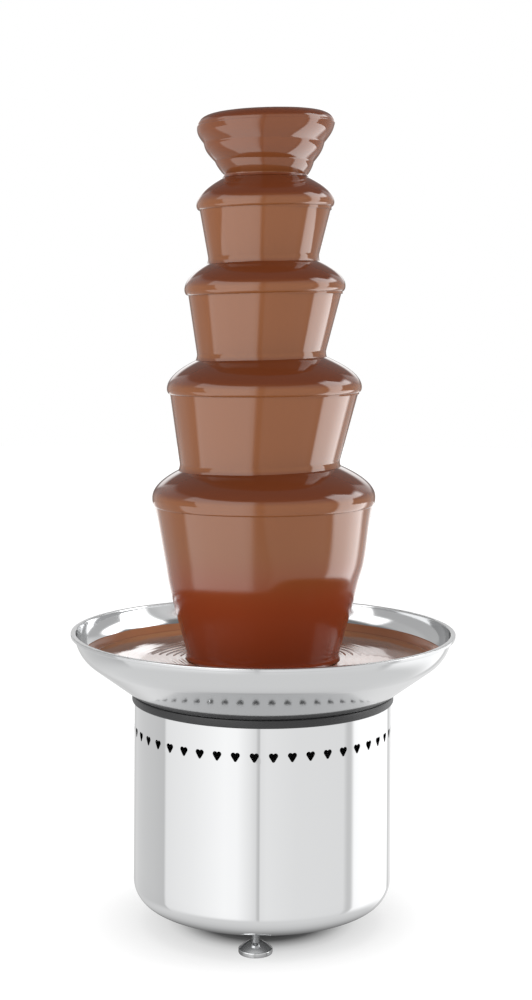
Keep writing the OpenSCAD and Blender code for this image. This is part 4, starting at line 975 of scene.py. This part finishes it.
def heart_cell(row_z, low, high):
    """Vertices (arc length, z) and faces of one cell of the vent band, with its heart cut out."""
    width = 2 * math.pi * DRUM_R / HEARTS
    xs = [-width / 2 + x for x in span(0, width, CELL_STEPS)]
    zs = span(low, high, CELL_ROWS)
    border = [(x, low) for x in xs] + [(xs[-1], z) for z in zs[1:]]
    border += [(x, high) for x in reversed(xs[:-1])] + [(xs[0], z) for z in reversed(zs[1:-1])]
    heart = [(x, row_z + y) for x, y in heart_outline()]
    grid = [
        (x, z)
        for x in xs[1:-1]
        for z in zs[1:-1]
        if max(abs(x) / (HEART_W / 2 + HEART_CLEAR), abs(z - row_z) / (HEART_H / 2 + HEART_CLEAR)) > 1
    ]
    points = [Vector(p) for p in border + heart + grid]
    loops = [(k, (k + 1) % len(border)) for k in range(len(border))]
    first = len(border)
    loops += [(first + k, first + (k + 1) % len(heart)) for k in range(len(heart))]
    ids = list(range(first, first + len(heart)))
    verts, _, faces, _, _, origins = delaunay_2d_cdt(points, loops, [ids], 0, CELL_MERGE)
    kept = [face for face, origin in zip(faces, origins) if not origin]
    return verts, kept, len(border), len(heart)


def drum():
    """Housing with its vent band made of cells that meet the plain bands above and below."""
    made = bmesh.new()
    base = foot_of("drum_housing")
    row_z = drum_top - VENT_DROP
    low, high = row_z - VENT_BAND, row_z + VENT_BAND
    steps = HEARTS * CELL_STEPS
    bottom = [(r, base) for r in span(OPENING_R, DRUM_R - CORNER_R, FLOOR_RINGS)[:-1]]
    corner = arc(DRUM_R - CORNER_R, base + CORNER_R, CORNER_R, -90, 0, 20)
    wall = [(DRUM_R, z) for z in span(base + CORNER_R, low, WALL_RINGS)[1:]]
    outside = bottom + corner + wall
    over = [(DRUM_R, high), (DRUM_R, (high + drum_top) / 2), (DRUM_R, drum_top)]
    thin = DRUM_R - DRUM_WALL
    inside = [(OPENING_R, base + DRUM_WALL)]
    inside += arc(DRUM_R - CORNER_R, base + CORNER_R, CORNER_R - DRUM_WALL, -90, 0, 12)
    inside += [(thin, low)]
    turn = math.pi / 2 + math.pi / HEARTS

    def place(r, arc_length, z, cell):
        a = arc_length / DRUM_R + 2 * math.pi * cell / HEARTS - math.pi / 2
        return (r * math.cos(a) * MM, r * math.sin(a) * MM, z * MM)

    def skirt(points):
        rings = []
        for i in range(steps):
            a = 2 * math.pi * i / steps - turn
            rings.append(
                [made.verts.new((r * math.cos(a) * MM, r * math.sin(a) * MM, z * MM)) for r, z in points]
            )
        for i in range(steps):
            here, there = rings[i], rings[(i + 1) % steps]
            for k in range(len(points) - 1):
                made.faces.new((here[k], there[k], there[k + 1], here[k + 1]))

    skirt(list(reversed(inside)) + outside)
    skirt(over + [(thin, drum_top), (thin, high)])
    verts, faces, border, heart = heart_cell(row_z, low, high)
    for cell in range(HEARTS):
        outer = [made.verts.new(place(DRUM_R, v.x, v.y, cell)) for v in verts]
        inner = [made.verts.new(place(thin, v.x, v.y, cell)) for v in verts]
        for face in faces:
            made.faces.new([outer[k] for k in face])
            made.faces.new([inner[k] for k in reversed(face)])
        ring = list(range(border, border + heart))
        for k in range(heart):
            p, q = ring[k], ring[(k + 1) % heart]
            made.faces.new((outer[p], outer[q], inner[q], inner[p]))
    bmesh.ops.remove_doubles(made, verts=made.verts, dist=CELL_JOIN)
    return piece("drum_shell", made, "base", "polished_steel", ("drum_housing",), SHEET_SHARP)


def cut(obj, cutters):
    """Takes the cutters' bmeshes out of an object."""
    for builder in cutters:
        bmesh.ops.recalc_face_normals(builder, faces=builder.faces)
        mesh = bpy.data.meshes.new("cutter")
        builder.to_mesh(mesh)
        builder.free()
        tool = new_object("cutter", mesh)
        step = obj.modifiers.new("cut", "BOOLEAN")
        step.operation = "DIFFERENCE"
        step.solver = "EXACT"
        step.object = tool
        with bpy.context.temp_override(object=obj, active_object=obj):
            bpy.ops.object.modifier_apply(modifier=step.name)
        bpy.data.objects.remove(tool)


def block(low, high):
    """Bmesh of a box between two corners, in mm."""
    made = bmesh.new()
    middle = [(a + b) / 2 * MM for a, b in zip(low, high)]
    size = [(b - a) * MM for a, b in zip(low, high)]
    bmesh.ops.create_cube(made, size=1.0, matrix=Matrix.LocRotScale(Vector(middle), None, Vector(size)))
    return made


def round_hole(at, radius, depth):
    """Bmesh of a cylinder at a placement, in mm."""
    made = bmesh.new()
    r = radius * MM
    bmesh.ops.create_cone(
        made, cap_ends=True, segments=48, radius1=r, radius2=r, depth=depth * MM, matrix=at
    )
    return made


FEET_NUMBERS = (1, 2, 3)
HOLE_IN, HOLE_OUT = 6, 4
FRAME_EDGES = {"motor_switch": 1.7, "heater_switch": 1.7, "power_inlet": 2.2}
SPINDLE_HOLE_R, SPINDLE_HOLE_DEPTH = 5.3, 12
STUD_HOLE_R, STUD_HOLE_DEPTH, STUD_HOLE_Z = 4.5, 6, 21


def drum_holes():
    """Openings for the controls on the back, and for the feet's studs."""
    cutters = []
    for name, edge in FRAME_EDGES.items():
        low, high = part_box(name)
        trim = edge - SLIP
        x, z0, z1 = high.x / MM - trim, low.z / MM + trim, high.z / MM - trim
        cutters.append(block((-x, DRUM_R - HOLE_IN, z0), (x, DRUM_R + HOLE_OUT, z1)))
    low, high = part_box("thermostat_spindle")
    across = Matrix.Translation((0, DRUM_R * MM, (low.z + high.z) / 2)) @ Matrix.Rotation(math.pi / 2, 4, "X")
    cutters.append(round_hole(across, SPINDLE_HOLE_R, SPINDLE_HOLE_DEPTH))
    for k in FEET_NUMBERS:
        low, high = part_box(f"foot_stud_{k}")
        upright = Matrix.Translation(((low.x + high.x) / 2, (low.y + high.y) / 2, STUD_HOLE_Z * MM))
        cutters.append(round_hole(upright, STUD_HOLE_R, STUD_HOLE_DEPTH))
    return cutters


INWARD = -0.5
UPWARD = 0.3
UNDER_TOP = 50
shell = drum()
cut(shell, drum_holes())
shade(shell, SHEET_SHARP)
# The drum's inner wall and the inside of its floor take the near-black steel: painted shade inside the drum.
shell.data.materials.append(LOOKS["inside_painted_shade"])
for face in shell.data.polygons:
    middle = Vector((face.center.x, face.center.y, 0))
    wall = face.normal.dot(middle.normalized()) < INWARD and middle.length < (DRUM_R - 1) * MM
    if wall or (face.normal.z > UPWARD and face.center.z < (drum_top - UNDER_TOP) * MM):
        face.material_index = 1


# Feet: turned pads with a rounded cone, and ringed studs
PAD_FOOT_R, PAD_EDGE_R, PAD_EASE = 14.6, 15.0, 0.9
PAD_GROOVE_R, PAD_GROOVE = 15.8, (1.0, 1.3)
PAD_R, PAD_BAND = 16.0, (1.5, 3.4)
PAD_TOP_R, PAD_ROUND = 15.4, 0.6
CONE_FOOT, CONE_TOP, CONE_SWELL = 4.5, 11.0, 0.55
CONE_NARROWS, CONE_END_R = 9.4, 5.7
PAD_BORE_R, PAD_BORE_FOOT = 4.05, 3.15
STUD_R, STUD_TIP_R, STUD_TIP, STUD_END_R = 4.0, 3.6, 0.4, 3.4
THREAD_START, THREAD_END, THREAD_PITCH = 11.3, 1.6, 1.25
THREAD_ROOT_R, THREAD_ROOT, THREAD_CREST = 3.5, (0.45, 0.65), 1.1
PAD_STEPS, PAD_CONE_STEPS, STUD_STEPS = 96, 14, 48
PAD_SHARP, STUD_SHARP = 30, 25


def foot_pad():
    profile = [(0, 0), (PAD_FOOT_R, 0)] + arc(PAD_EDGE_R, PAD_EASE, PAD_EASE, -80, 0, 5)
    profile += [(PAD_GROOVE_R, z) for z in PAD_GROOVE] + [(PAD_R, z) for z in PAD_BAND]
    profile += arc(PAD_TOP_R, CONE_FOOT - PAD_ROUND, PAD_ROUND, 0, 90, 6)
    for t in span(0, 1, PAD_CONE_STEPS)[1:]:
        height = CONE_FOOT + (CONE_TOP - CONE_FOOT) * t + CONE_SWELL * math.sin(math.pi * t)
        profile.append((PAD_TOP_R - CONE_NARROWS * t, height))
    bore = [(PAD_BORE_R, CONE_TOP), (PAD_BORE_R, PAD_BORE_FOOT), (0, PAD_BORE_FOOT)]
    return profile + [(CONE_END_R, CONE_TOP)] + bore


def foot_stud(low, high):
    profile = [(0, low), (STUD_TIP_R, low), (STUD_R, low + STUD_TIP), (STUD_R, THREAD_START)]
    z = THREAD_START
    while z < high - THREAD_END:
        profile += [(THREAD_ROOT_R, z + up) for up in THREAD_ROOT]
        profile += [(STUD_R, z + THREAD_CREST), (STUD_R, z + THREAD_PITCH)]
        z += THREAD_PITCH
    return profile + [(STUD_END_R, high), (0, high)]


for k in FEET_NUMBERS:
    pad_node, stud_node = f"foot_pad_{k}", f"foot_stud_{k}"
    low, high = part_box(stud_node)
    at = ((low.x + high.x) / 2 / MM, (low.y + high.y) / 2 / MM)
    pad = turned(foot_pad(), PAD_STEPS, centre=at)
    piece(f"foot_disc_{k}", pad, pad_node, "foot_steel", (pad_node,), PAD_SHARP)
    stud = turned(foot_stud(low.z / MM, high.z / MM), STUD_STEPS, centre=at)
    piece(f"foot_screw_{k}", stud, stud_node, "plain_steel", (stud_node,), STUD_SHARP)
